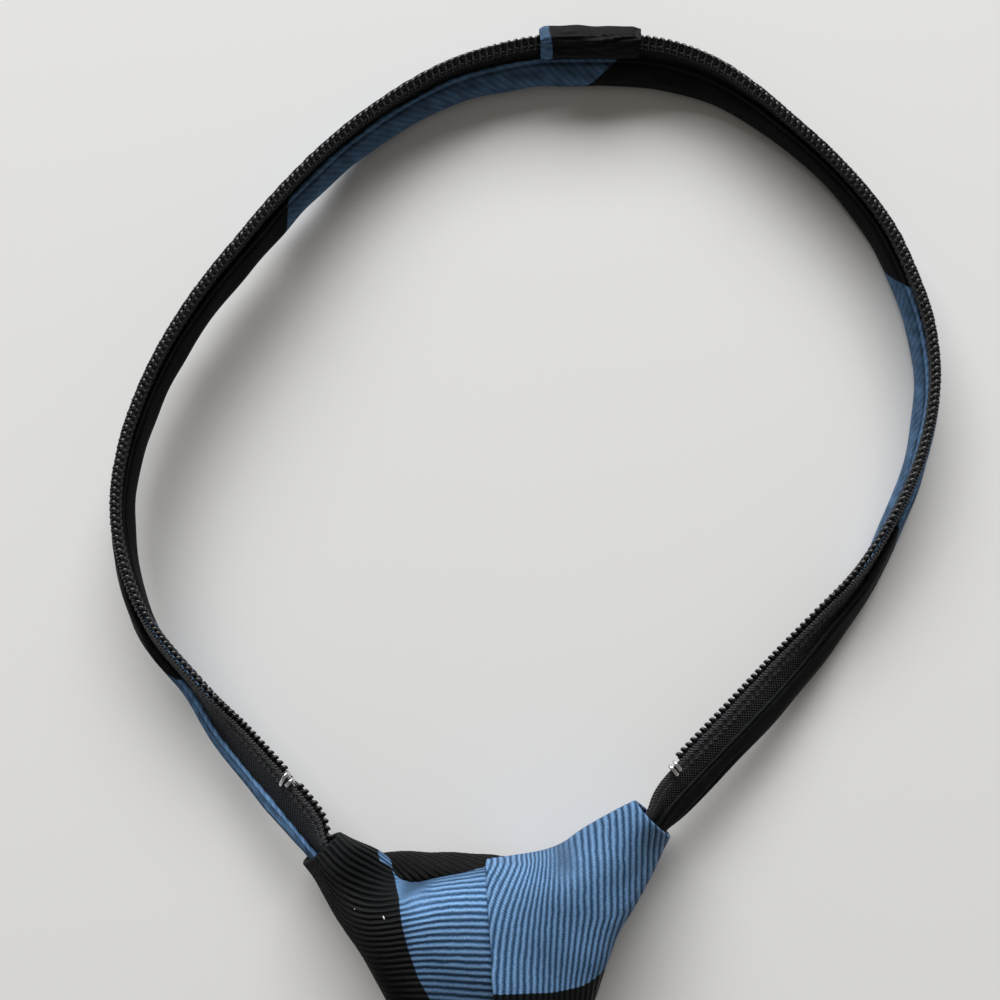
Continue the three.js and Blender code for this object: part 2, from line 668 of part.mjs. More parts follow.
function bandGeometry(leftEar, rightEar) {
  const corners = BAND_OUTLINE.map(({ x, y }) => new THREE.Vector2(x * KNOT_WIDTH, y * KNOT_HEIGHT));
  const shape = new THREE.Shape(corners);
  const flat = new THREE.ExtrudeGeometry(shape, { depth: BAND_THICKNESS, bevelEnabled: false });
  const circle = Array.from({ length: ROLL_SIDES }, (_, i) => {
    const angle = (2 * Math.PI * i) / ROLL_SIDES;
    return new THREE.Vector2(Math.cos(angle), Math.sin(angle));
  });
  const sections = ROLL_ROWS.map(({ x, y, depth, height }) => circle.map((c) => new THREE.Vector3(
    x * KNOT_WIDTH,
    (y + c.x * depth) * KNOT_HEIGHT,
    Math.max((height + c.y * height) * KNOT_THICKNESS, 0),
  )));
  const roll = toSolid(loft(sections, circle));
  const hulls = wingHull(LEFT_WING_ROWS, leftEar).add(wingHull(RIGHT_WING_ROWS, rightEar));
  return toGeometry(largest(toSolid(flat).add(roll.subtract(hulls))));
}

function sliderGeometry() {
  const half = SLIDER_WIDTH / 2;
  const shoulder = SLIDER_LENGTH * SLIDER_SHOULDER;
  const shape = new THREE.Shape([
    new THREE.Vector2(-half * SLIDER_TAIL, 0),
    new THREE.Vector2(half * SLIDER_TAIL, 0),
    new THREE.Vector2(half, SLIDER_LENGTH - shoulder),
    new THREE.Vector2(half * SLIDER_HEAD, SLIDER_LENGTH),
    new THREE.Vector2(-half * SLIDER_HEAD, SLIDER_LENGTH),
    new THREE.Vector2(-half, SLIDER_LENGTH - shoulder),
  ]);
  return new THREE.ExtrudeGeometry(shape, { depth: SLIDER_THICKNESS, bevelEnabled: false });
}

function bladeGeometry() {
  const length = TIE_LENGTH - KNOT_HEIGHT;
  const mouthLift = sliderBase;
  const tipLength = BLADE_WIDTH / 2 / Math.tan(THREE.MathUtils.degToRad(TIP_ANGLE / 2));
  const shoulder = 1 - tipLength / length;
  const rows = [...BLADE_ROWS, { along: shoulder, width: 1, thick: 1, lift: 0 }];
  const sectionAt = ({ y, width, thick, lift }) => {
    const half = width / 2;
    const pointAt = (sign) => ({ side, up }) => new THREE.Vector3(sign * side * half, y, lift + up * thick);
    const right = BLADE_SECTION.map(pointAt(1));
    const left = BLADE_SECTION.slice(1, -1).map(pointAt(-1));
    return [...right, ...left.reverse()];
  };
  const sections = [];
  const rowAt = (at) => ({
    y: knotFoot - between(rows, 'along', at) * length,
    width: between(rows, 'width', at) * BLADE_WIDTH,
    thick: between(rows, 'thick', at) * BLADE_THICKNESS,
    lift: Math.max(between(rows, 'lift', at), 0) * mouthLift,
  });
  sections.push(sectionAt({ ...rowAt(0), y: knotFoot + BLADE_TUCK }));
  for (let i = 0; i <= BLADE_STEPS; i++) {
    sections.push(sectionAt(rowAt(((rows.length - 1) * i) / BLADE_STEPS)));
  }
  const tipThick = BLADE_THICKNESS * TIP_THICKNESS;
  sections.push(sectionAt({ y: knotFoot - length, width: TIP_WIDTH, thick: tipThick, lift: 0 }));
  const flat = sectionAt(rowAt(rows.length - 1)).map((p) => new THREE.Vector2(p.x, p.z));
  return loft(sections, flat);
}

const group = new THREE.Group();

function piece(name, geometry, look) {
  const mesh = new THREE.Mesh(geometry, new THREE.MeshStandardMaterial(LOOKS[look]));
  mesh.name = name;
  mesh.geometry.computeVertexNormals();
  group.add(mesh);
  return mesh;
}

const leftRail = railAlong(strapRoute(LEFT_ROWS, EARS.left, -1));
const rightRail = railAlong(strapRoute(RIGHT_ROWS, EARS.right, 1));
const leftEar = leftRail.at(leftRail.mouth);
const rightEar = rightRail.at(rightRail.mouth);

for (const [side, rail] of [['left', leftRail], ['right', rightRail]]) {
  const stations = strapStations(rail);
  piece(`strap_cloth_${side}`, along(rail, clothSection(), stations.cloth), 'blackCloth');
  piece(`zip_tape_${side}`, along(rail, tapeSection(), stations.tape), 'tape');
}

const leftStop = leftRail.mouth - LEFT_STOP_TO_EAR;
const rightStop = rightRail.mouth - RIGHT_STOP_TO_EAR;
const besideStop = STOP_LENGTH / 2 + CLEARANCE;
piece('zip_coil_left', coilAlong(leftRail, 0, leftStop - besideStop), 'coil');
piece('zip_coil_left_end', coilAlong(leftRail, leftStop + besideStop, leftRail.mouth - COIL_TO_EAR), 'coil');
piece('zip_coil_right', coilAlong(rightRail, 0, rightStop - besideStop), 'coil');
piece('zip_stop_left', stopAt(leftRail, leftStop), 'steel');
piece('zip_stop_right', stopAt(rightRail, rightStop), 'steel');

const coverOnLeft = COVER_STEPS_LEFT.map((share) => leftRail.at(share * COVER_ON_LEFT));
const coverOnRight = COVER_STEPS_RIGHT.map((share) => rightRail.at(share * COVER_ON_RIGHT));
const cover = [...coverOnLeft, ...coverOnRight].map((frame) => placed(coverSection(), frame));
piece('join_cover', loft(cover, flatOf(coverSection())), 'blackCloth');

const rightWing = wingShell(RIGHT_WING_ROWS, rightEar, 0).subtract(belowFoot());
const leftWing = wingShell(LEFT_WING_ROWS, leftEar, 0)
  .subtract(wingShell(RIGHT_WING_ROWS, rightEar, LAP_ROOM))
  .subtract(belowFoot());
piece('knot_left_wing', toGeometry(largest(leftWing)), 'blackCloth');
piece('knot_right_wing', toGeometry(largest(rightWing)), 'blueCloth');
piece('knot_back_band', bandGeometry(leftEar, rightEar), 'blackCloth');

const slider = piece('zip_slider', sliderGeometry(), 'steel');
slider.position.set(0, sliderFoot, sliderBase);

piece('blade', bladeGeometry(), 'blueCloth');

export default group;
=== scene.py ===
"""Looks of a pre-tied necktie with a zip in its neck band, lying on a pale table.

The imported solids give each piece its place. Every visible one is replaced by a finer piece that
follows the same sections: ribbed cloth in blue and black stripes, a woven zip tape, a wound nylon
coil with its stitches, clamped steel stops and a gathered cover over the join.

Lengths are millimetres until a mesh is made. X runs to the wearer's left, Y to the back of the
neck and Z out of the table.
"""

import logging
import math
from dataclasses import dataclass
from enum import Enum

import bmesh
import bpy
import numpy as np
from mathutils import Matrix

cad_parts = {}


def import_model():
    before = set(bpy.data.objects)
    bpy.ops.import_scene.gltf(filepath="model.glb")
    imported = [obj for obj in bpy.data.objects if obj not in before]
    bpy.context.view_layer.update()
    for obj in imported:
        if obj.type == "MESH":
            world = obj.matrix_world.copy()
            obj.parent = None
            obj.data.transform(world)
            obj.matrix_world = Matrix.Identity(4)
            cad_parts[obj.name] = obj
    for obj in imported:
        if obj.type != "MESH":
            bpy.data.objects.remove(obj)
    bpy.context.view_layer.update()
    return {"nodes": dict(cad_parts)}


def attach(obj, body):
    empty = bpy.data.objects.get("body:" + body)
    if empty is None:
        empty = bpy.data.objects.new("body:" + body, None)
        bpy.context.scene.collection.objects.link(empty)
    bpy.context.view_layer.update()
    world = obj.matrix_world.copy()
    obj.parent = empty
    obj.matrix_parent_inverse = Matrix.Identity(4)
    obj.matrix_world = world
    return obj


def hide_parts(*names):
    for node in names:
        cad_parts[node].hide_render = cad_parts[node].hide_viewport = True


log = logging.getLogger("zipper_tie")

MM = 0.001
UP = np.array([0.0, 0.0, 1.0])
Array = np.ndarray


class Side(Enum):
    """The two halves of the neck band, by the sign of the way to the wearer's left."""

    LEFT = -1
    RIGHT = 1


@dataclass(frozen=True)
class Band:
    """Sizes of the neck band and its zip."""

    loop_width: float = 152.0
    loop_length: float = 165.0
    strap_width: float = 11.0
    cloth_reach: float = 5.7
    fold_thickness: float = 4.2
    cloth_wall: float = 0.8
    tape_thickness: float = 0.5
    tape_hidden: float = 4.0
    tooth_reach: float = 0.9
    coil_width: float = 3.0
    coil_thickness: float = 1.3
    coil_pitch: float = 1.27
    coil_standoff: float = 0.45
    stop_length: float = 2.6
    left_stop_to_ear: float = 13.8
    right_stop_to_ear: float = 10.0
    cover_on_left: float = 15.4
    cover_on_right: float = 1.8
    cover_room: float = 0.5
    cover_wall: float = 0.9
    cover_gather: float = 1.4
    strap_tuck: float = 6.0
    join_gap: float = 0.7
    clearance: float = 0.3

    @property
    def fold_radius(self) -> float:
        """Half the thickness of the folded cloth."""
        return self.fold_thickness / 2

    @property
    def coil_tip(self) -> float:
        """Where the coil's turns end, from the middle of the fold."""
        return self.strap_width - self.fold_radius

    @property
    def cloth_edge(self) -> float:
        """Where the cloth's sewn edges lie."""
        return self.cloth_reach - self.fold_radius

    @property
    def tape_edge(self) -> float:
        """Where the tape's free edge lies."""
        return self.coil_tip - self.tooth_reach

    @property
    def pocket_front(self) -> float:
        """Inside of the cloth in front of the tape."""
        return self.tape_thickness + self.clearance


@dataclass(frozen=True)
class Knot:
    """Sizes of the knot."""

    width: float = 66.7
    height: float = 36.0
    thickness: float = 20.6
    foot: float = -0.514
    wall: float = 1.0
    ear_room: float = 0.6
    exponent: float = 2.8
    band_thickness: float = 1.5
    approach: float = 7.0
    hidden_lean: float = 0.45
    slider_length: float = 8.8
    slider_thickness: float = 5.0
    blade_tuck: float = 5.9

    @property
    def foot_y(self) -> float:
        """Where the knot's mouth is cut open."""
        return self.foot * self.height


@dataclass(frozen=True)
class Blade:
    """Sizes of the blade below the knot."""

    tie_length: float = 457.0
    width: float = 83.0
    thickness: float = 4.0
    tip_width: float = 1.6
    tip_thickness: float = 0.6
    stripe: float = 42.5


BAND = Band()
KNOT = Knot()
BLADE = Blade()


def hermite(column: Array, where: Array) -> Array:
    """Reads a table's column smoothly between its rows.

    Args:
        column: One value a row.
        where: Row numbers, which may lie between two rows.

    Returns:
        The values there.
    """
    last = len(column) - 1
    base = np.clip(np.floor(where).astype(int), 0, last - 1)
    f = where - base
    a, b, c, d = (column[np.clip(base + k, 0, last)] for k in (-1, 0, 1, 2))
    slope_in = (c - a) / 2
    slope_out = (d - b) / 2
    f2 = f * f
    f3 = f2 * f
    start = (2 * f3 - 3 * f2 + 1) * b + (f3 - 2 * f2 + f) * slope_in
    return start + (3 * f2 - 2 * f3) * c + (f3 - f2) * slope_out


class Table:
    """Rows of numbers with named columns."""

    def __init__(self, columns: str, rows: list[tuple[float, ...]]) -> None:
        """Takes the columns' names, parted by spaces, and the rows."""
        self.columns = columns.split()
        self.rows = np.array(rows, float)

    def __len__(self) -> int:
        """How many rows there are."""
        return len(self.rows)

    def column(self, name: str) -> Array:
        """All values of one column."""
        return self.rows[:, self.columns.index(name)]

    def at(self, name: str, where: Array) -> Array:
        """A column's values between its rows."""
        return hermite(self.column(name), np.asarray(where, float))


LEFT_ROWS = Table("across along lean lift", [
    (0.166, 1.0, 130, 0), (0.069, 1.0, 128, 0), (0.005, 0.991, 121, 0), (-0.047, 0.975, 115, 0),
    (-0.101, 0.943, 110, 0), (-0.1548, 0.8951, 106, 0.19), (-0.2021, 0.8325, 104, 0.51),
    (-0.2429, 0.7658, 102, 0.72), (-0.2845, 0.6945, 99, 0.8), (-0.3167, 0.6149, 96, 0.82),
    (-0.3348, 0.5246, 93, 0.78), (-0.3332, 0.4372, 88, 0.74), (-0.3094, 0.3554, 81, 0.67),
    (-0.2701, 0.2767, 68.6, 0.61), (-0.1997, 0.2043, 65.7, 0.58), (-0.1447, 0.137, 45, 0.64),
])
RIGHT_ROWS = Table("across along lean lift", [
    (0.166, 1.0, 131, 0), (0.217, 0.994, 126, 0), (0.265, 0.981, 115, 0), (0.307, 0.957, 104, 0),
    (0.3465, 0.924, 96, 0), (0.384, 0.884, 93, 0), (0.416, 0.839, 92, 0), (0.441, 0.787, 93, 0),
    (0.456, 0.729, 93, 0), (0.465, 0.661, 92, 0), (0.461, 0.59, 88.5, 0), (0.443, 0.523, 85, 0),
    (0.415, 0.458, 81, 0), (0.376, 0.389, 74, 0), (0.3295, 0.3165, 61, 0.02), (0.273, 0.25, 46, 0.12),
    (0.213, 0.186, 33, 0.35), (0.149, 0.127, 30, 0.65),
])
EARS = {
    Side.LEFT: {"x": -0.482, "y": 0.514, "turn": -46.7, "lean": 57, "before": 37.5, "lift": 0.255},
    Side.RIGHT: {"x": 0.4657, "y": 0.65, "turn": 222.3, "lean": 54, "before": 33, "lift": 0.235},
}
WING_COLUMNS = "topX topY topZ lowX lowY lowZ thick"
LEFT_WING_ROWS = Table(WING_COLUMNS, [
    (-0.378, 0.548, 0.83, -0.4485, 0.405, 0.17, 0.47), (-0.321, 0.468, 0.68, -0.4, 0.242, 0.26, 0.65),
    (-0.24, 0.381, 0.53, -0.336, 0.019, 0.42, 0.84), (-0.14, 0.4125, 0.47, -0.269, -0.249, 0.46, 0.9),
    (-0.067, 0.439, 0.465, -0.187, -0.542, 0.465, 0.92),
    (-0.006, 0.454, 0.465, -0.075, -0.944, 0.465, 0.92),
    (0.045, 0.45, 0.465, 0.055, -1.11, 0.465, 0.92),
])
RIGHT_WING_ROWS = Table(WING_COLUMNS, [
    (0.33, 0.681, 0.71, 0.443, 0.489, 0.22, 0.52), (0.244, 0.583, 0.62, 0.403, 0.335, 0.36, 0.72),
    (0.192, 0.553, 0.55, 0.353, 0.164, 0.47, 0.86), (0.127, 0.517, 0.52, 0.317, -0.017, 0.49, 0.96),
    (0.055, 0.489, 0.5, 0.274, -0.249, 0.5, 1.0), (0.0, 0.482, 0.5, 0.203, -0.611, 0.5, 1.0),
    (-0.009, 0.481, 0.5, 0.06, -1.056, 0.5, 1.0),
])
BAND_OUTLINE = np.array([
    (-0.2, -0.486), (0.228, -0.486), (0.275, -0.236), (0.322, 0.0), (0.345, 0.222), (0.3, 0.39),
    (0.12, 0.43), (-0.3, 0.43), (-0.34, 0.33), (-0.36, 0.167), (-0.34, -0.028), (-0.28, -0.264),
])
ROLL_ROWS = Table("x y depth height", [
    (-0.33, 0.415, 0.055, 0.2), (-0.27, 0.407, 0.079, 0.25), (-0.2, 0.408, 0.081, 0.27),
    (-0.1, 0.406, 0.078, 0.27), (-0.02, 0.402, 0.073, 0.26), (0.05, 0.385, 0.06, 0.22),
])
BLADE_ROWS = Table("along width thick lift", [
    (0, 0.265, 2.8, 1), (0.012, 0.29, 2.75, 0.9), (0.04, 0.355, 2.4, 0.35), (0.08, 0.43, 1.8, 0),
    (0.15, 0.51, 1.25, 0), (0.25, 0.59, 1.05, 0), (0.45, 0.73, 1, 0), (0.65, 0.86, 1, 0),
    (0.8, 0.95, 1, 0),
])
BLADE_SECTION = Table("side up", [
    (0, 0), (0.62, 0), (0.9, 0.12), (1, 0.42), (0.93, 0.74), (0.66, 0.95), (0, 1),
])

# Lines on the wings' fronts, each as places along one axis and then the line's place on the other.
LEFT_COLOUR_CHANGE = ((-18.5, -4.6, -0.8, 4.1, 8.2, 12.4, 16.2, 18, 24),
                      (-3, -10.6, -12.7, -14.4, -15.5, -16.3, -18.2, -20.2, -22))
RIGHT_COLOUR_CHANGE = ((1.4, 10.6, 16.8, 19.8, 30), (-2.9, -2.7, -1.7, -0.4, 3))
LEFT_TOP_EDGE = ((-22, -16, -10, -0.5), (17.5, 13.9, 14.9, 16.3))
LEFT_STRIP_WIDTH = ((-16, -13, -10, -0.5), (1.7, 1.4, 0.3, -0.4))
LEFT_STRIP_FOOT = ((-16, -10, -0.5), (12.2, 14.4, 16.0))
RIGHT_RIB_START = ((-1, 3, 7, 14, 22, 30), (17.3, 17.5, 18, 21.5, 24.5, 26))


def smooth_step(value: Array, low: float, high: float) -> Array:
    """0 below low, 1 above high and a soft ramp between."""
    f = np.clip((np.asarray(value, float) - low) / (high - low), 0, 1)
    return f * f * (3 - 2 * f)


def bell(value: Array, middle: float, width: float) -> Array:
    """A bump of height 1 with that half width."""
    return np.exp(-(((np.asarray(value, float) - middle) / width) ** 2))


def ripple(x: Array, y: Array, seed: int, wave: float, waves: int = 7) -> Array:
    """Gentle unevenness from a few crossing waves, about -1 to 1.

    Args:
        x: First coordinate in millimetres.
        y: Second coordinate in millimetres.
        seed: Picks the waves.
        wave: Their mean length in millimetres.
        waves: How many are added.

    Returns:
        The sum at each place.
    """
    chance = np.random.default_rng(seed)
    total = np.zeros(np.broadcast(x, y).shape)
    for _ in range(waves):
        turn, phase = chance.uniform(0, 2 * np.pi, 2)
        length = chance.uniform(0.6, 1.6)
        total += np.sin((x * np.cos(turn) + y * np.sin(turn)) * 2 * np.pi / (wave * length) + phase)
    return total / math.sqrt(waves)


def flow_through(points: Array, count: int, closed: bool = False) -> Array:
    """A smooth line through points, in evenly spaced steps.

    Args:
        points: (n, k) points.
        count: How many points come back.
        closed: Whether the line returns to its start, which then isn't repeated.

    Returns:
        (count, k) points.
    """
    points = np.asarray(points, float)
    if closed:
        points = np.vstack([points[-1], points, points[0], points[1]])
        where = np.linspace(1, len(points) - 2, 24 * len(points))
    else:
        where = np.linspace(0, len(points) - 1, 24 * len(points))
    dense = np.stack([hermite(points[:, k], where) for k in range(points.shape[1])], axis=1)
    run = np.concatenate([[0], np.cumsum(np.linalg.norm(np.diff(dense, axis=0), axis=1))])
    stops = np.linspace(0, run[-1], count, endpoint=not closed)
    return np.stack([np.interp(stops, run, dense[:, k]) for k in range(points.shape[1])], axis=1)


def unit(vectors: Array) -> Array:
    """The same directions with length 1."""
    return vectors / np.maximum(np.linalg.norm(vectors, axis=-1, keepdims=True), 1e-9)


def run_along(points: Array, axis: int) -> Array:
    """Length run through a grid of points along one of its axes.

    Args:
        points: (..., 3) points.
        axis: The axis that is run along.

    Returns:
        The length at each point, 0 at the start.
    """
    steps = np.linalg.norm(np.diff(points, axis=axis), axis=-1)
    start = np.zeros_like(np.take(steps, [0], axis=axis))
    return np.concatenate([start, np.cumsum(steps, axis=axis)], axis=axis)


def closed_ring(grid: Array) -> Array:
    """The same grid with its first column repeated at the end."""
    return np.concatenate([grid, grid[:, :1]], axis=1)


@dataclass
class Frames:
    """Places along a strap: e points from the fold to the coil, a out of the front face, d ahead."""

    place: Array
    e: Array
    a: Array
    d: Array

    def put(self, r: Array, t: Array, s: Array | float = 0.0) -> Array:
        """Places section points, (m,) or (n, m), at each of the n places."""
        r, t, s = (np.atleast_1d(np.asarray(v, float))[..., None] for v in (r, t, s))
        return self.place[:, None] + self.e[:, None] * r + self.a[:, None] * t + self.d[:, None] * s

    def joined(self, other: "Frames") -> "Frames":
        """These places and then those of another."""
        pairs = zip((self.place, self.e, self.a, self.d), (other.place, other.e, other.a, other.d))
        return Frames(*(np.concatenate(pair) for pair in pairs))


class Rail:
    """The route of one strap, measured along its fold from the join."""

    samples = 600
    nudge = 0.02

    def __init__(self, table: Table, side: Side) -> None:
        """Lays the route from the join into the knot.

        Args:
            table: The places, leans and lifts outside the knot.
            side: The half of the neck band.
        """
        self.side = side
        ear = EARS[side]
        turn = math.radians(ear["turn"])
        mouth = np.array([ear["x"] * KNOT.width, ear["y"] * KNOT.height])
        inward = np.array([math.cos(turn), math.sin(turn)])
        lift = ear["lift"] * KNOT.thickness
        x = mouth[0] * (1 - table.column("along")) + table.column("across") * BAND.loop_width
        y = mouth[1] * (1 - table.column("along")) + table.column("along") * BAND.loop_length
        rows = np.stack([x, y, table.column("lean"), table.column("lift") * lift], axis=1)
        rows[0, 0] += side.value * BAND.join_gap / 2

        def on_axis(distance: float) -> Array:
            """A row that far inside the ear's mouth."""
            return np.array([*(mouth + inward * distance), ear["lean"], lift])

        slider_top = KNOT.foot_y + KNOT.blade_tuck + BAND.clearance + KNOT.slider_length
        base = KNOT.band_thickness + 2 * BAND.clearance + KNOT.wall
        flat_lift = base + KNOT.slider_thickness / 2 - float(self.rest_height(np.zeros(1))[0])
        end_x = side.value * (BAND.coil_tip + 2 * BAND.clearance)
        end = np.array([end_x, slider_top + BAND.clearance, 0, flat_lift])
        deep = on_axis(2 * BAND.strap_tuck)
        halfway = (deep + end) / 2
        halfway[2] = deep[2] * KNOT.hidden_lean
        before = on_axis(-KNOT.approach)
        before[2] = ear["before"]
        ears = [before, on_axis(0), on_axis(BAND.strap_tuck), deep]
        self.rows = np.vstack([rows, *ears, halfway, end])
        self.last = len(self.rows) - 1
        u = np.linspace(0, self.last, self.samples + 1)
        self.u = u
        self.run = run_along(self.read(u)[:, :2], 0)
        self.mouth = float(np.interp(len(table) + 1, u, self.run))
        self.end = float(self.run[-1])

    def read(self, u: Array) -> Array:
        """Rows of the route at row numbers u."""
        return np.stack([hermite(self.rows[:, k], u) for k in range(4)], axis=1)

    @staticmethod
    def rest_height(lean: Array) -> Array:
        """How high the fold's middle lies when the fold touches the table.

        Args:
            lean: Angles in radians.

        Returns:
            The height at each angle.
        """
        r, t = Folds.plain()
        up = r[None, :] * np.sin(lean)[:, None] + t[None, :] * np.cos(lean)[:, None]
        return -up.min(axis=1)

    def at(self, s: Array) -> Frames:
        """The frames at places along the strap.

        Args:
            s: Lengths from the join.

        Returns:
            One frame a length.
        """
        u = np.clip(np.interp(s, self.run, self.u), 0, self.last)
        row = self.read(u)
        ahead = self.read(np.minimum(u + self.nudge, self.last))[:, :2]
        ahead = unit(ahead - self.read(np.maximum(u - self.nudge, 0))[:, :2])
        flat = np.zeros(len(u))
        inwards = self.side.value * np.stack([ahead[:, 1], -ahead[:, 0], flat], axis=1)
        lean = np.radians(row[:, 2])
        cos, sin = np.cos(lean)[:, None], np.sin(lean)[:, None]
        place = np.stack([row[:, 0], row[:, 1], row[:, 3] + self.rest_height(lean)], axis=1)
        d = np.stack([ahead[:, 0], ahead[:, 1], flat], axis=1)
        return Frames(place, inwards * cos + UP * sin, UP * cos - inwards * sin, d)


class Folds:
    """Sections of the folded strap cloth."""

    steps = 72

    @staticmethod
    def plain() -> tuple[Array, Array]:
        """The outline that the strap rests on, as in the solids.

        Returns:
            r and t of each point.
        """
        radius, edge = BAND.fold_radius, BAND.cloth_edge
        front = BAND.pocket_front + BAND.cloth_wall
        back = -BAND.clearance - BAND.cloth_wall + 0.1
        diagonal = radius * math.sqrt(0.5)
        points = np.array([
            (edge, front), (edge / 2, (front + radius) / 2 + 0.1), (0, radius), (-diagonal, diagonal),
            (-radius, 0), (-diagonal, -diagonal), (0, -radius), (edge / 2, (back - radius) / 2 - 0.1),
            (edge, back),
        ])
        return points[:, 0], points[:, 1]

    @classmethod
    def round(cls) -> tuple[Array, Array, Array]:
        """The cloth's rounded outline and the girth run along it.

        Returns:
            r, t and girth of each point. The last points close the outline through the pocket.
        """
        radius, edge = BAND.fold_radius, BAND.cloth_edge
        inside, behind = BAND.pocket_front - 0.2, -BAND.clearance + 0.2
        front = BAND.pocket_front + BAND.cloth_wall
        back = -BAND.clearance - BAND.cloth_wall + 0.1
        diagonal = radius * math.sqrt(0.5)
        outer = flow_through(np.array([
            (edge - 0.1, inside), (edge + 0.14, inside + 0.3), (edge + 0.1, front - 0.2),
            (edge - 0.25, front + 0.02), (edge / 2, (front + radius) / 2 + 0.1), (0, radius),
            (-diagonal, diagonal), (-radius, 0), (-diagonal, -diagonal), (0, -radius),
            (edge / 2, (back - radius) / 2 - 0.1), (edge - 0.25, back + 0.02), (edge + 0.1, back + 0.2),
            (edge + 0.14, behind - 0.25), (edge - 0.1, behind),
        ]), cls.steps)
        pocket = np.array([(0.4, behind), (-0.5, behind), (-0.5, inside), (0.4, inside)])
        points = np.vstack([outer, pocket])
        girth = np.concatenate([[0], np.cumsum(np.linalg.norm(np.diff(points, axis=0), axis=1))])
        return points[:, 0], points[:, 1], girth


@dataclass
class Piece:
    """Hangs one finer piece on the frame, in the place of the solids that it stands for."""

    name: str
    material: bpy.types.Material
    slot: str
    stands_for: tuple[str, ...] = ()

    def hang(self, mesh: bpy.types.Mesh) -> bpy.types.Object:
        """Links a finished mesh as an object that rides on the tie.

        Args:
            mesh: The mesh, in metres.

        Returns:
            The object.
        """
        mesh.materials.append(self.material)
        shape = bpy.data.objects.new(self.name, mesh)
        bpy.context.scene.collection.objects.link(shape)
        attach(shape, "root")
        if self.stands_for:
            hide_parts(*self.stands_for)
        log.info("%s: %d faces", self.name, len(mesh.polygons))
        return shape


@dataclass
class Grid:
    """A grid of points, (n, m, 3), with what its surface carries.

    uv is (n, m, 2), or (n, m + 1, 2) where the grid's ring closes.
    """

    points: Array
    uv: Array
    close_ring: bool = False
    capped: bool = False
    values: dict[str, Array] | None = None
    sharp: float = 60.0

    def faces(self) -> tuple[Array, Array]:
        """Numbers the grid's four-sided faces.

        Returns:
            The corner numbers of each face, and their places in uv.
        """
        n, m = self.points.shape[:2]
        ring = np.arange(m if self.close_ring else m - 1)
        i, j = (g.ravel() for g in np.meshgrid(np.arange(n - 1), ring, indexing="ij"))
        corners = [(i, j), (i, j + 1), (i + 1, j + 1), (i + 1, j)]
        numbers = np.stack([a * m + b % m for a, b in corners], axis=1)
        width = self.uv.shape[1]
        places = np.stack([a * width + b for a, b in corners], axis=1)
        return numbers, places

    def is_inside_out(self, numbers: Array) -> bool:
        """Whether the faces enclose a negative volume.

        Args:
            numbers: The corner numbers of each face.

        Returns:
            True where the faces point inwards.
        """
        flat = self.points.reshape(-1, 3)
        centre = flat.mean(axis=0)
        a, b, c, d = (flat[numbers[:, k]] - centre for k in range(4))
        halves = (np.einsum("ij,ij->i", a, np.cross(b, c)), np.einsum("ij,ij->i", a, np.cross(c, d)))
        return halves[0].sum() + halves[1].sum() < 0

    def mesh(self, name: str) -> bpy.types.Mesh:
        """Builds the mesh in metres, its faces pointing out.

        Args:
            name: The mesh's name.

        Returns:
            The mesh.
        """
        n, m = self.points.shape[:2]
        numbers, places = self.faces()
        turned = self.is_inside_out(numbers)
        if turned:
            numbers, places = numbers[:, ::-1], places[:, ::-1]
        faces = numbers.tolist()
        uv = self.uv.reshape(-1, 2)[places.ravel()]
        if self.capped:
            first, last = np.arange(m), np.arange(m) + (n - 1) * m
            ends = (first, last[::-1]) if turned else (first[::-1], last)
            width = self.uv.shape[1]
            for end in ends:
                faces.append(end.tolist())
                uv = np.vstack([uv, self.uv.reshape(-1, 2)[(end // m) * width + end % m]])
        mesh = bpy.data.meshes.new(name)
        mesh.from_pydata((self.points.reshape(-1, 3) * MM).tolist(), [], faces)
        layer = mesh.uv_layers.new(name="Weave")
        layer.data.foreach_set("uv", uv.astype(np.float32).ravel())
        for key, value in (self.values or {}).items():
            attribute = mesh.attributes.new(key, "FLOAT", "POINT")
            attribute.data.foreach_set("value", np.broadcast_to(value, (n, m)).astype(np.float32).ravel())
        mesh.polygons.foreach_set("use_smooth", np.ones(len(mesh.polygons), bool))
        mesh.set_sharp_from_angle(angle=math.radians(self.sharp))
        mesh.update()
        return mesh


def tube_around(path: Array, sides_of: Array, ring: Array) -> Array:
    """Points of a tube around a path.

    Args:
        path: (n, 3) middle line.
        sides_of: (n, 3) rough direction across the tube at each point.
        ring: (m, 2) section, across the tube and out of it.

    Returns:
        (n, m, 3) points.
    """
    ahead = unit(np.gradient(path, axis=0))
    across = unit(sides_of - ahead * np.einsum("ij,ij->i", sides_of, ahead)[:, None])
    out = np.cross(ahead, across)
    return path[:, None] + across[:, None] * ring[None, :, :1] + out[:, None] * ring[None, :, 1:]


def tube_weave(s: Array, sides: int) -> Array:
    """Surface coordinates of a tube.

    Args:
        s: Length at each of its rings.
        sides: Points in a ring.

    Returns:
        (n, sides + 1, 2) lengths and shares of the way round.
    """
    around = np.linspace(0, 1, sides + 1)[None, :]
    return np.stack(np.broadcast_arrays(s[:, None], around), axis=2)


def ring_of(sides: int, half_width: float, half_depth: float, exponent: float = 2.0) -> Array:
    """A closed section, round or with fuller corners.

    Args:
        sides: How many points it has.
        half_width: Half its first measure.
        half_depth: Half its second measure.
        exponent: 2 for an ellipse, more for fuller corners.

    Returns:
        (sides, 2) points.
    """
    angle = np.linspace(0, 2 * np.pi, sides, endpoint=False)
    power = 2 / exponent
    x = np.sign(np.cos(angle)) * np.abs(np.cos(angle)) ** power
    y = np.sign(np.sin(angle)) * np.abs(np.sin(angle)) ** power
    return np.stack([x * half_width, y * half_depth], axis=1)


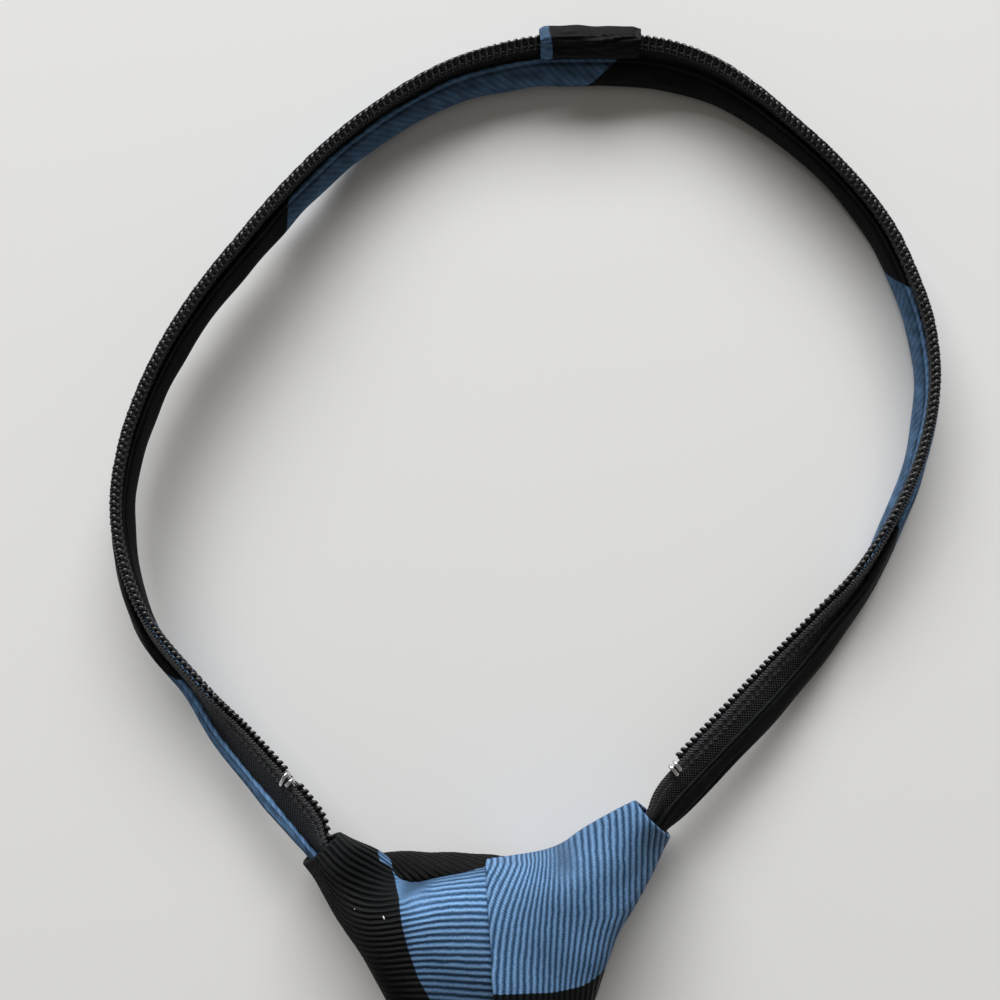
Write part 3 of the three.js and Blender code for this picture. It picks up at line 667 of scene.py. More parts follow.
def beads(centres: Array, axes: Array, half_length: float | Array, radius: float) -> tuple[Array, Array]:
    """Many small oval threads as one set of points and faces.

    Args:
        centres: (n, 3) middles.
        axes: (n, 3) directions.
        half_length: Half the length of each.
        radius: Half the width of each.

    Returns:
        (k, 3) points and (f, 4) corner numbers.
    """
    sides, rings = 6, 5
    theta = np.linspace(0.12 * np.pi, 0.88 * np.pi, rings)
    phi = np.linspace(0, 2 * np.pi, sides, endpoint=False)
    axes = unit(axes)
    helper = np.where(np.abs(axes[:, 2:3]) > 0.9, np.array([[1.0, 0, 0]]), UP[None, :])
    one = unit(np.cross(axes, helper))
    two = np.cross(axes, one)
    lengths = np.broadcast_to(np.asarray(half_length, float), (len(centres),))[:, None, None, None]
    x = np.cos(theta)[None, :, None, None] * lengths * axes[:, None, None, :]
    wide = np.sin(theta)[None, :, None, None] * radius
    y = wide * np.cos(phi)[None, None, :, None] * one[:, None, None, :]
    z = wide * np.sin(phi)[None, None, :, None] * two[:, None, None, :]
    points = (centres[:, None, None, :] + x + y + z).reshape(-1, 3)
    i, j = (g.ravel() for g in np.meshgrid(np.arange(rings - 1), np.arange(sides), indexing="ij"))
    k = (j + 1) % sides
    one_bead = np.stack([i * sides + j, (i + 1) * sides + j, (i + 1) * sides + k, i * sides + k], axis=1)
    faces = (one_bead[None] + (np.arange(len(centres)) * sides * rings)[:, None, None]).reshape(-1, 4)
    return points, faces


def plain_mesh(name: str, points: Array, faces: Array) -> bpy.types.Mesh:
    """A smooth mesh.

    Args:
        name: The mesh's name.
        points: (k, 3) points in millimetres.
        faces: (f, 4) corner numbers.

    Returns:
        The mesh, in metres.
    """
    mesh = bpy.data.meshes.new(name)
    mesh.from_pydata((points * MM).tolist(), [], faces.tolist())
    mesh.polygons.foreach_set("use_smooth", np.ones(len(mesh.polygons), bool))
    mesh.update()
    return mesh


@dataclass(frozen=True)
class ClothFinish:
    """Colours and relief of the ribbed cloth; the valley colours also carry painted shade."""

    blue_crest: tuple[float, float, float, float] = (0.145, 0.275, 0.475, 1)
    blue_valley_with_painted_shade: tuple[float, float, float, float] = (0.013, 0.045, 0.105, 1)
    black_crest: tuple[float, float, float, float] = (0.0082, 0.0094, 0.0105, 1)
    black_valley_with_painted_shade: tuple[float, float, float, float] = (0.0007, 0.0009, 0.0012, 1)
    roughness: float = 0.6
    metallic: float = 0.0
    sheen: float = 0.012
    gloss: float = 0.1
    rib_height: float = 0.14
    rib_power: float = 1.6


@dataclass(frozen=True)
class PlainFinish:
    """Colour and gloss of a material without stripes."""

    low: tuple[float, float, float, float]
    high: tuple[float, float, float, float]
    roughness: float
    metallic: float = 0.0
    sheen: float = 0.0
    gloss: float = 0.5
    grain: float = 900.0
    height: float = 0.02


CLOTH = ClothFinish()
# The tape's light colour is for its thread tops: partly their own colour, partly painted glints.
TAPE = PlainFinish((0.0034, 0.0037, 0.0044, 1), (0.06, 0.064, 0.073, 1), 0.55, sheen=0.02, gloss=0.3)
COIL = PlainFinish((0.0018, 0.0018, 0.002, 1), (0.004, 0.004, 0.0045, 1), 0.38, gloss=0.8,
                   grain=1500.0, height=0.004)
THREAD = PlainFinish((0.008, 0.0085, 0.01, 1), (0.06, 0.063, 0.07, 1), 0.5, sheen=0.02, gloss=0.15,
                     grain=4000.0)
STEEL = PlainFinish((0.62, 0.62, 0.64, 1), (0.82, 0.82, 0.83, 1), 0.28, metallic=1.0,
                    grain=1400.0, height=0.01)
LINT = PlainFinish((0.7, 0.7, 0.68, 1), (0.85, 0.85, 0.83, 1), 0.9, sheen=0.3, gloss=0.2, grain=3000.0)
FLOOR = PlainFinish((0.71, 0.712, 0.712, 1), (0.73, 0.732, 0.732, 1), 0.8, gloss=0.1, grain=9.0, height=0.0)


class Graph:
    """Adds shader nodes to one tree."""

    def __init__(self, tree: bpy.types.NodeTree) -> None:
        """Starts on a tree, with none of its nodes counted yet."""
        self.tree = tree
        self.count = 0

    def add(self, kind: str, **settings: object) -> bpy.types.Node:
        """A new node with its properties set."""
        node = self.tree.nodes.new(kind)
        node.location = (180 * (self.count % 12), -220 * (self.count // 12))
        self.count += 1
        for key, value in settings.items():
            setattr(node, key, value)
        return node

    def feed(self, socket: bpy.types.NodeSocket, value: object) -> None:
        """Links a socket to another, or sets its value."""
        if isinstance(value, bpy.types.NodeSocket):
            self.tree.links.new(value, socket)
        else:
            socket.default_value = value

    def math(self, operation: str, *values: object) -> bpy.types.NodeSocket:
        """A Math node's result."""
        node = self.add("ShaderNodeMath", operation=operation)
        for socket, value in zip(node.inputs, values):
            self.feed(socket, value)
        return node.outputs[0]

    def blend(self, factor: object, low: object, high: object) -> bpy.types.NodeSocket:
        """A colour between two."""
        node = self.add("ShaderNodeMix", data_type="RGBA")
        self.feed(node.inputs["Factor"], factor)
        self.feed(node.inputs[6], low)
        self.feed(node.inputs[7], high)
        return node.outputs[2]

    def ramp(self, value: object, low: float, high: float) -> bpy.types.NodeSocket:
        """0 below low and 1 above high, softly."""
        node = self.add("ShaderNodeMapRange", interpolation_type="SMOOTHSTEP")
        self.feed(node.inputs["Value"], value)
        node.inputs["From Min"].default_value = low
        node.inputs["From Max"].default_value = high
        return node.outputs["Result"]

    def noise(self, scale: float, detail: float = 2.0) -> bpy.types.NodeSocket:
        """Noise in the object's own coordinates, in metres."""
        place = self.add("ShaderNodeTexCoord").outputs["Object"]
        node = self.add("ShaderNodeTexNoise")
        self.feed(node.inputs["Vector"], place)
        node.inputs["Scale"].default_value = scale
        node.inputs["Detail"].default_value = detail
        return node.outputs["Fac"]

    def wave(self, value: object, period: float) -> bpy.types.NodeSocket:
        """A sine of a length, from 0 to 1."""
        angle = self.math("MULTIPLY", value, 2 * math.pi / period)
        return self.math("MULTIPLY_ADD", self.math("SINE", angle), 0.5, 0.5)

    def weave(self) -> tuple[bpy.types.NodeSocket, bpy.types.NodeSocket]:
        """The two coordinates of the cloth."""
        uv = self.add("ShaderNodeUVMap", uv_map="Weave").outputs["UV"]
        split = self.add("ShaderNodeSeparateXYZ")
        self.feed(split.inputs[0], uv)
        return split.outputs["X"], split.outputs["Y"]

    def attribute(self, name: str) -> bpy.types.NodeSocket:
        """A value that the mesh carries."""
        return self.add("ShaderNodeAttribute", attribute_name=name).outputs["Fac"]


def new_group(name: str, outputs: dict[str, str]) -> tuple[bpy.types.NodeTree, Graph, bpy.types.Node]:
    """A node group with these outputs, by name and socket type."""
    tree = bpy.data.node_groups.new(name, "ShaderNodeTree")
    for key, kind in outputs.items():
        tree.interface.new_socket(name=key, in_out="OUTPUT", socket_type=kind)
    graph = Graph(tree)
    return tree, graph, graph.add("NodeGroupOutput")


PATTERN_OUTPUTS = {"Color": "NodeSocketColor", "Height": "NodeSocketFloat", "Roughness": "NodeSocketFloat"}


class Looks:
    """Builds each material once."""

    def __init__(self) -> None:
        """Builds the pattern groups and the materials over them."""
        self.cloth = self.shaded("RibbedCloth", self.cloth_pattern(CLOTH), CLOTH)
        self.tape = self.shaded("WovenTape", self.tape_pattern(TAPE), TAPE)
        self.coil = self.shaded("NylonCoil", self.grain_pattern("NylonGrain", COIL), COIL)
        self.thread = self.shaded("Thread", self.grain_pattern("ThreadGrain", THREAD), THREAD)
        self.steel = self.shaded("BrightSteel", self.grain_pattern("SteelGrain", STEEL), STEEL)
        self.lint = self.shaded("Lint", self.grain_pattern("LintGrain", LINT), LINT)
        self.floor = self.shaded("PaleTable", self.grain_pattern("TableGrain", FLOOR), FLOOR)

    @staticmethod
    def shaded(name: str, pattern: bpy.types.NodeTree,
               finish: ClothFinish | PlainFinish) -> bpy.types.Material:
        """A material whose colour, roughness and bump come from a pattern group.

        Args:
            name: The material's name.
            pattern: The group.
            finish: Says how metallic, fuzzy and glossy the material is.

        Returns:
            The material.
        """
        material = bpy.data.materials.new(name)
        material.use_nodes = True
        graph = Graph(material.node_tree)
        shader = material.node_tree.nodes["Principled BSDF"]
        group = graph.add("ShaderNodeGroup", node_tree=pattern)
        bump = graph.add("ShaderNodeBump")
        bump.inputs["Distance"].default_value = MM
        graph.feed(bump.inputs["Height"], group.outputs["Height"])
        graph.feed(shader.inputs["Base Color"], group.outputs["Color"])
        graph.feed(shader.inputs["Roughness"], group.outputs["Roughness"])
        graph.feed(shader.inputs["Normal"], bump.outputs["Normal"])
        shader.inputs["Metallic"].default_value = finish.metallic
        shader.inputs["Sheen Weight"].default_value = finish.sheen
        shader.inputs["Sheen Roughness"].default_value = 0.45
        shader.inputs["Specular IOR Level"].default_value = finish.gloss
        return material

    @staticmethod
    def cloth_pattern(finish: ClothFinish) -> bpy.types.NodeTree:
        """Ribs of wound threads in blue and black stripes, with painted shade in their valleys."""
        tree, graph, out = new_group("RibbedClothPattern", PATTERN_OUTPUTS)
        ribs, along = graph.weave()
        wander = graph.math("MULTIPLY_ADD", graph.noise(420.0), 0.34, -0.27)
        wander = graph.math("MULTIPLY_ADD", graph.noise(1500.0), 0.2, wander)
        phase = graph.math("MULTIPLY", graph.math("ADD", ribs, wander), math.pi)
        crest = graph.math("POWER", graph.math("ABSOLUTE", graph.math("SINE", phase)), finish.rib_power)
        relief = graph.attribute("relief")
        level = graph.math("MULTIPLY_ADD", graph.math("SUBTRACT", crest, 0.62), relief, 0.62)
        twist = graph.wave(graph.math("MULTIPLY_ADD", ribs, 0.5, along), 0.42)
        fuzz = graph.noise(3200.0, 3.0)
        patch = graph.noise(160.0, 2.0)
        shade = graph.math("MULTIPLY_ADD", fuzz, 0.9, 0.44)
        shade = graph.math("MULTIPLY", shade, graph.math("MULTIPLY_ADD", patch, 0.3, 0.9))
        shade = graph.math("MULTIPLY", shade, graph.math("MULTIPLY_ADD", twist, 0.3, 0.84))
        # Painted light and shade, with random mottle, come in through the mesh's attribute.
        shade = graph.math("MULTIPLY", shade, graph.math("ADD", graph.attribute("tone_and_painted_light"), 1.0))
        # Valleys darker than crests: partly the threads' own colour, partly painted shade.
        blue = graph.blend(level, finish.blue_valley_with_painted_shade, finish.blue_crest)
        black = graph.blend(level, finish.black_valley_with_painted_shade, finish.black_crest)
        colour = graph.blend(graph.ramp(graph.attribute("blue"), -0.12, 0.12), black, blue)
        scaled = graph.add("ShaderNodeMix", data_type="RGBA", blend_type="MULTIPLY")
        scaled.inputs["Factor"].default_value = 1.0
        graph.feed(scaled.inputs[6], colour)
        graph.feed(scaled.inputs[7], shade)
        height = graph.math("MULTIPLY", level, finish.rib_height)
        height = graph.math("ADD", height, graph.math("MULTIPLY", twist, 0.02))
        height = graph.math("ADD", height, graph.math("MULTIPLY", fuzz, 0.05))
        rough = graph.math("MULTIPLY_ADD", fuzz, 0.2, finish.roughness - 0.1)
        graph.feed(out.inputs["Color"], scaled.outputs[2])
        graph.feed(out.inputs["Height"], height)
        graph.feed(out.inputs["Roughness"], rough)
        return tree

    @staticmethod
    def tape_pattern(finish: PlainFinish) -> bpy.types.NodeTree:
        """Fine rows beside the cloth and a coarse herringbone under the coil."""
        tree, graph, out = new_group("WovenTapePattern", PATTERN_OUTPUTS)
        along, across = graph.weave()
        row = graph.math("FLOOR", graph.math("DIVIDE", across, 0.46))
        staggered = graph.math("MULTIPLY_ADD", row, 0.31, along)
        rows = graph.math("MULTIPLY", graph.wave(across, 0.46), graph.wave(staggered, 0.62))
        slant = graph.math("PINGPONG", across, 0.8)
        bones = graph.wave(graph.math("MULTIPLY_ADD", slant, 1.0, along), 0.635)
        fade = graph.math("MULTIPLY_ADD", graph.wave(across, 0.8), 0.7, 0.55)
        bones = graph.math("MULTIPLY", bones, fade)
        sewn = graph.ramp(across, 5.5, 5.9)
        weave = graph.math("ADD", graph.math("MULTIPLY", rows, graph.math("SUBTRACT", 1.0, sewn)),
                           graph.math("MULTIPLY", bones, sewn))
        fuzz = graph.noise(2600.0, 3.0)
        level = graph.math("MULTIPLY", weave, graph.math("MULTIPLY_ADD", fuzz, 1.3, 0.0))
        level = graph.math("MULTIPLY", level, graph.math("MULTIPLY_ADD", sewn, 0.9, 1.0))
        height = graph.math("ADD", graph.math("MULTIPLY", weave, 0.34), graph.math("MULTIPLY", fuzz, 0.12))
        # Lighter thread tops: the weave's colour with painted glints.
        graph.feed(out.inputs["Color"], graph.blend(level, finish.low, finish.high))
        graph.feed(out.inputs["Height"], height)
        graph.feed(out.inputs["Roughness"], graph.math("MULTIPLY_ADD", fuzz, 0.2, finish.roughness - 0.1))
        return tree

    @staticmethod
    def grain_pattern(name: str, finish: PlainFinish) -> bpy.types.NodeTree:
        """An even surface with a fine grain."""
        tree, graph, out = new_group(name, PATTERN_OUTPUTS)
        grain = graph.noise(finish.grain, 3.0)
        graph.feed(out.inputs["Color"], graph.blend(grain, finish.low, finish.high))
        graph.feed(out.inputs["Height"], graph.math("MULTIPLY", grain, finish.height))
        rough = graph.math("MULTIPLY_ADD", grain, 0.12, finish.roughness - 0.06)
        graph.feed(out.inputs["Roughness"], rough)
        return tree


@dataclass(frozen=True)
class Stripes:
    """Colour changes of a strap, as lengths from the ear's mouth back towards the join.

    The first stretch, next to the ear, is blue where starts_blue is set. slant is how far a change
    moves along the strap for each millimetre of girth.
    """

    changes: tuple[float, ...]
    starts_blue: bool
    slant: float = 1.0

    def blue(self, from_mouth: Array, girth: Array) -> Array:
        """Signed distance to the nearest colour change, above 0 in the blue."""
        q = from_mouth + self.slant * girth
        edges = np.array(self.changes)
        gap = np.abs(q[..., None] - edges).min(axis=-1)
        passed = (q[..., None] > edges).sum(axis=-1)
        sign = np.where((passed % 2 == 0) == self.starts_blue, 1.0, -1.0)
        return sign * gap / math.sqrt(1 + self.slant**2)


STRIPES = {
    Side.LEFT: Stripes((40.7, 126.8, 196.0), True, -1.0),
    Side.RIGHT: Stripes((73.2, 134.5), False, 1.0),
}
RIB_PITCH = 1.2
# Distance to a colour change for pieces that have none: far on the black side.
ALL_BLACK = -5.0
# The share of the join's gap that each strap runs on into, under the cover.
JOIN_SHARE = 0.62
# The least height of cloth over the table.
OVER_TABLE = 0.02


@dataclass
class StrapCloth:
    """The folded cloth of one strap.

    creases holds, for each, its place in the girth and how far before the knot it starts. low_cuff
    holds where the front cuff starts to lie lower, from the join, and by how much.
    """

    rail: Rail
    stripes: Stripes
    creases: tuple[tuple[float, float], ...]
    low_cuff: tuple[float, float]

    step = 0.7
    hem_groove = 1.5
    # Painted shade: the share by which the whole strap's cloth is darkened.
    shade = -0.25
    crease_depth = 0.34
    crease_width = 0.42
    cuff_run = 16.0
    seam = 0.2

    def build(self, looks: Looks) -> bpy.types.Object:
        """Makes the piece.

        Args:
            looks: The materials.

        Returns:
            The object.
        """
        end = self.rail.mouth + BAND.strap_tuck
        s = np.linspace(0, end, int(end / self.step))[:, None]
        r, t, girth = Folds.round()
        outer = np.arange(len(r)) < Folds.steps
        lift = self.pucker(s, girth[None, :]) * outer
        normal_r, normal_t = self.outward(r, t)
        frames = self.rail.at(s[:, 0])
        calm = smooth_step(end - s, 4.0, 9.0)
        to_join = np.where(s > 0, 0.0, -JOIN_SHARE * BAND.join_gap)
        low_from, drop = self.low_cuff
        is_front = (t > 0.2) * np.clip(r / BAND.cloth_edge, 0, 1)
        lower = drop * smooth_step(s, low_from, low_from + self.cuff_run) * is_front[None, :]
        points = frames.put(r - lower + normal_r * lift * calm, t + normal_t * lift * calm, to_join)
        points[..., 2] = np.maximum(points[..., 2], OVER_TABLE)
        closed = np.append(girth, girth[-1] + self.seam)[None, :]
        slant = self.stripes.slant
        unit_length = math.sqrt(1 + slant**2)
        ribs = (slant * (self.rail.mouth - s) - closed) / unit_length / RIB_PITCH
        cross = (self.rail.mouth - s + slant * closed) / unit_length
        blue = self.stripes.blue(self.rail.mouth - s, girth[None, :])
        side = self.rail.side.name.lower()
        from_edge = np.minimum(girth, girth[outer].max() - girth)
        # Painted light along the cuffs: a painted highlight on the rounded sewn edge, painted shade in the
        # groove beside it and in a band just inside.
        painted_cuff_light_and_shade = bell(from_edge, 0.7, 0.4) - bell(from_edge, self.hem_groove, 0.35)
        worn = 0.12 * ripple(s / 1.6, girth, 41, 3.0)
        tone_and_painted_light = self.shade + 0.4 * painted_cuff_light_and_shade - 0.18 * bell(from_edge, 2.6, 1.2) + worn
        relief = 0.08 + 0.2 * smooth_step(blue, -0.2, 0.4)
        grid = Grid(points, np.stack([ribs, cross], axis=2), close_ring=True, capped=True,
                    values={"blue": blue, "relief": relief, "tone_and_painted_light": tone_and_painted_light})
        piece = Piece(f"cloth_{side}", looks.cloth, "striped_cloth", (f"strap_cloth_{side}",))
        return piece.hang(grid.mesh(f"cloth_{side}"))

    def pucker(self, s: Array, girth: Array) -> Array:
        """How far the cloth stands out from its plain section.

        Args:
            s: Lengths from the join.
            girth: Lengths round the section, from the front cuff.

        Returns:
            The lift, below 0 in a crease.
        """
        lift = 0.1 * ripple(s / 2.2, girth, 11 + self.rail.side.value, 5.0)
        for place, reach in self.creases:
            middle = place + 0.5 * np.sin(s / 9.0 + place)
            near = smooth_step(s, self.rail.mouth - reach, self.rail.mouth - reach + 15)
            lift = lift - self.crease_depth * near * np.exp(-(((girth - middle) / self.crease_width) ** 2))
        full = girth[..., Folds.steps - 1:Folds.steps]
        from_edge = np.minimum(girth, full - girth)
        lift = lift + 0.1 * bell(from_edge, 0.8, 0.4) - 0.22 * bell(from_edge, self.hem_groove, 0.3)
        return lift + 0.07 * bell(from_edge, 0.0, 1.1) * np.sin(2 * np.pi * s / 3.1 + 0.8 * np.sin(s / 7.0))

    @staticmethod
    def outward(r: Array, t: Array) -> tuple[Array, Array]:
        """Outward direction at each point of a closed outline that runs anticlockwise."""
        dr = np.roll(r, -1) - np.roll(r, 1)
        dt = np.roll(t, -1) - np.roll(t, 1)
        length = np.maximum(np.hypot(dr, dt), 1e-6)
        return dt / length, -dr / length


@dataclass
class ZipTape:
    """The woven tape of one strap."""

    rail: Rail

    step = 0.9
    selvedge = 0.05
    face_points = 12

    def build(self, looks: Looks) -> bpy.types.Object:
        """Makes the piece."""
        thick, edge = BAND.tape_thickness, BAND.tape_edge + self.selvedge
        foot = BAND.cloth_edge - BAND.tape_hidden
        front = np.linspace(foot, edge - 0.3, self.face_points)
        back = front[::-1]
        r = np.concatenate([front, [edge - 0.08, edge + 0.02, edge - 0.08], back])
        t = np.concatenate([np.full(len(front), thick), [thick * 0.85, thick / 2, thick * 0.15],
                            np.zeros(len(back))])
        s = np.linspace(0, self.rail.end, int(self.rail.end / self.step))
        bumps = 0.045 * ripple(s[:, None], r[None, :], 31, 2.4) * (r[None, :] > BAND.cloth_edge)
        frames = self.rail.at(s)
        swing = np.sin(2 * np.pi * s[:, None] / BAND.coil_pitch)
        wavy = r[None, :] + 0.06 * swing * (r[None, :] > edge - 0.1)
        to_join = np.where(s > 0, 0.0, -JOIN_SHARE * BAND.join_gap)[:, None]
        points = frames.put(wavy, t + bumps, to_join)
        across = np.append(r, r[0])[None, :]
        uv = np.stack(np.broadcast_arrays(s[:, None], across), axis=2)
        side = self.rail.side.name.lower()
        grid = Grid(points, uv, close_ring=True, capped=True)
        piece = Piece(f"tape_{side}", looks.tape, "tape", (f"zip_tape_{side}",))
        return piece.hang(grid.mesh(f"tape_{side}"))


@dataclass
class ZipCoil:
    """A wound nylon filament with its turns standing over the tape's edge."""

    rail: Rail
    name: str
    start: float
    end: float

    radius = 0.28
    head_swell = 0.15
    near_tape = -0.05
    far_side = -1.25
    finer = 2
    cord_middle = (7.15, -0.64)
    cord_half = (0.85, 0.36)
    cord_step = 0.9
    turn = Table("r t s", [
        (0.0, 0.5, -0.5), (0.1, 0.12, -0.32), (0.45, 0.0, -0.2), (0.78, 0.0, -0.17), (0.93, 0.12, -0.19),
        (1.0, 0.36, -0.12), (1.0, 0.64, 0.12), (0.93, 0.88, 0.19), (0.78, 1.0, 0.17), (0.45, 1.0, 0.2),
        (0.1, 0.88, 0.32),
    ])

    def build(self, looks: Looks) -> bpy.types.Object:
        """Makes the piece."""
        turns = max(1, round((self.end - self.start) / BAND.coil_pitch))
        pitch = (self.end - self.start) / turns
        numbers = np.arange(turns)[:, None]
        s = self.start + (numbers + 0.5 + self.turn.column("s")[None, :]) * pitch
        inner = BAND.coil_width - self.radius * 2
        r = BAND.coil_tip - self.radius - inner * (1 - self.turn.column("r"))
        near, far = self.near_tape - self.radius, self.far_side + self.radius
        t = near + (far - near) * self.turn.column("t")
        head = smooth_step(self.turn.column("r"), 0.8, 1.0)
        r, t, head = (np.broadcast_to(v, s.shape).ravel() for v in (r, t, head))
        where = np.linspace(0, s.size - 1, s.size * self.finer)
        s, r, t, head = (hermite(v, where) for v in (s.ravel(), r, t, head))
        frames = self.rail.at(s)
        path = frames.place + frames.e * r[:, None] + frames.a * t[:, None]
        points = tube_around(path, frames.d, ring_of(9, self.radius, self.radius))
        off = points - path[:, None]
        along = np.einsum("nmk,nk->nm", off, frames.d)[..., None] * frames.d[:, None]
        points = path[:, None] + off + along * (self.head_swell * head)[:, None, None]
        grid = Grid(points, tube_weave(s, points.shape[1]), close_ring=True, capped=True)
        piece = Piece(self.name, looks.coil, "coil", (f"zip_{self.name}",))
        self.cord(looks)
        return piece.hang(grid.mesh(self.name))

    def cord(self, looks: Looks) -> bpy.types.Object:
        """Makes the cord that fills the inside of the turns."""
        s = np.linspace(self.start, self.end, max(4, int((self.end - self.start) / self.cord_step)))
        ring = ring_of(12, *self.cord_half) + np.array(self.cord_middle)
        points = self.rail.at(s).put(ring[:, 0] + 0 * s[:, None], ring[:, 1] + 0 * s[:, None])
        grid = Grid(points, tube_weave(s, len(ring)), close_ring=True, capped=True)
        name = f"cord_{self.name}"
        return Piece(name, looks.tape, "tape").hang(grid.mesh(name))


@dataclass
class CoilStitches:
    """The threads that sew a coil to its tape, on both faces."""

    rail: Rail
    end: float

    front = BAND.tape_thickness + 0.03
    behind = ZipCoil.far_side + 0.02
    # Each set's low and high end over the fold, its slant in turns, its face and its half width.
    sets = (
        (6.0, 6.9, -0.3, front, 0.15), (6.95, 7.75, 0.3, front, 0.15), (5.3, 5.95, 0.32, front, 0.13),
        (6.55, 6.75, 0.5, behind, 0.17), (7.25, 7.45, 0.5, behind, 0.17),
    )
    sway = 0.12

    def build(self, looks: Looks) -> bpy.types.Object:
        """Makes the piece."""
        pitch = BAND.coil_pitch
        s = np.arange(0.5 * pitch, self.end, pitch)
        frames = self.rail.at(s)
        points, faces, count = [], [], 0
        for low, high, shift, t, radius in self.sets:
            chance = np.random.default_rng(int(low * 10))
            sway = chance.uniform(-self.sway, self.sway, (len(s), 1))
            one = frames.place + frames.e * (low + sway) + frames.a * t - frames.d * (shift * pitch)
            two = frames.place + frames.e * (high + sway) + frames.a * t + frames.d * (shift * pitch)
            half = np.linalg.norm(two - one, axis=1) / 2
            some, quads = beads((one + two) / 2, two - one, half, radius)
            points.append(some)
            faces.append(quads + count)
            count += len(some)
        side = self.rail.side.name.lower()
        mesh = plain_mesh(f"coil_stitches_{side}", np.vstack(points), np.vstack(faces))
        return Piece(f"coil_stitches_{side}", looks.thread, "tape").hang(mesh)


@dataclass
class ZipStop:
    """Two steel bars clamped over the tape's edge.

    bars holds, for each, its offset along the strap, its slant and where its ends lie.
    """

    rail: Rail
    middle: float
    bars: tuple[tuple[float, float, float], ...]

    half_width = 0.36
    half_depth = 0.26
    pivot = 7.4
    over_edge = ((7.2, 0.86), (8.1, 0.8), (8.5, 0.5), (8.58, 0.1), (8.4, -0.3), (7.8, -0.44), (7.0, -0.46))

    def build(self, looks: Looks) -> list[bpy.types.Object]:
        """Makes the pieces."""
        made = []
        side = self.rail.side.name.lower()
        for number, (offset, slant, low) in enumerate(self.bars):
            line = flow_through(np.array([
                (low, 0.62), (low + 0.3, 0.8), *self.over_edge, (low + 0.3, -0.42), (low, -0.34),
            ]), 40)
            s = self.middle + offset + slant * (line[:, 0] - self.pivot)
            frames = self.rail.at(s)
            path = frames.place + frames.e * line[:, :1] + frames.a * line[:, 1:]
            points = tube_around(path, frames.d, ring_of(14, self.half_width, self.half_depth, 3.0))
            taper = 1 - 0.25 * smooth_step(np.abs(np.linspace(-1, 1, len(line))), 0.8, 1.0)
            points = path[:, None] + (points - path[:, None]) * taper[:, None, None]
            name = f"stop_{side}_{number + 1}"
            stands_for = (f"zip_stop_{side}",) if number == 0 else ()
            grid = Grid(points, tube_weave(s, points.shape[1]), close_ring=True, capped=True)
            made.append(Piece(name, looks.steel, "steel", stands_for).hang(grid.mesh(name)))
        return made


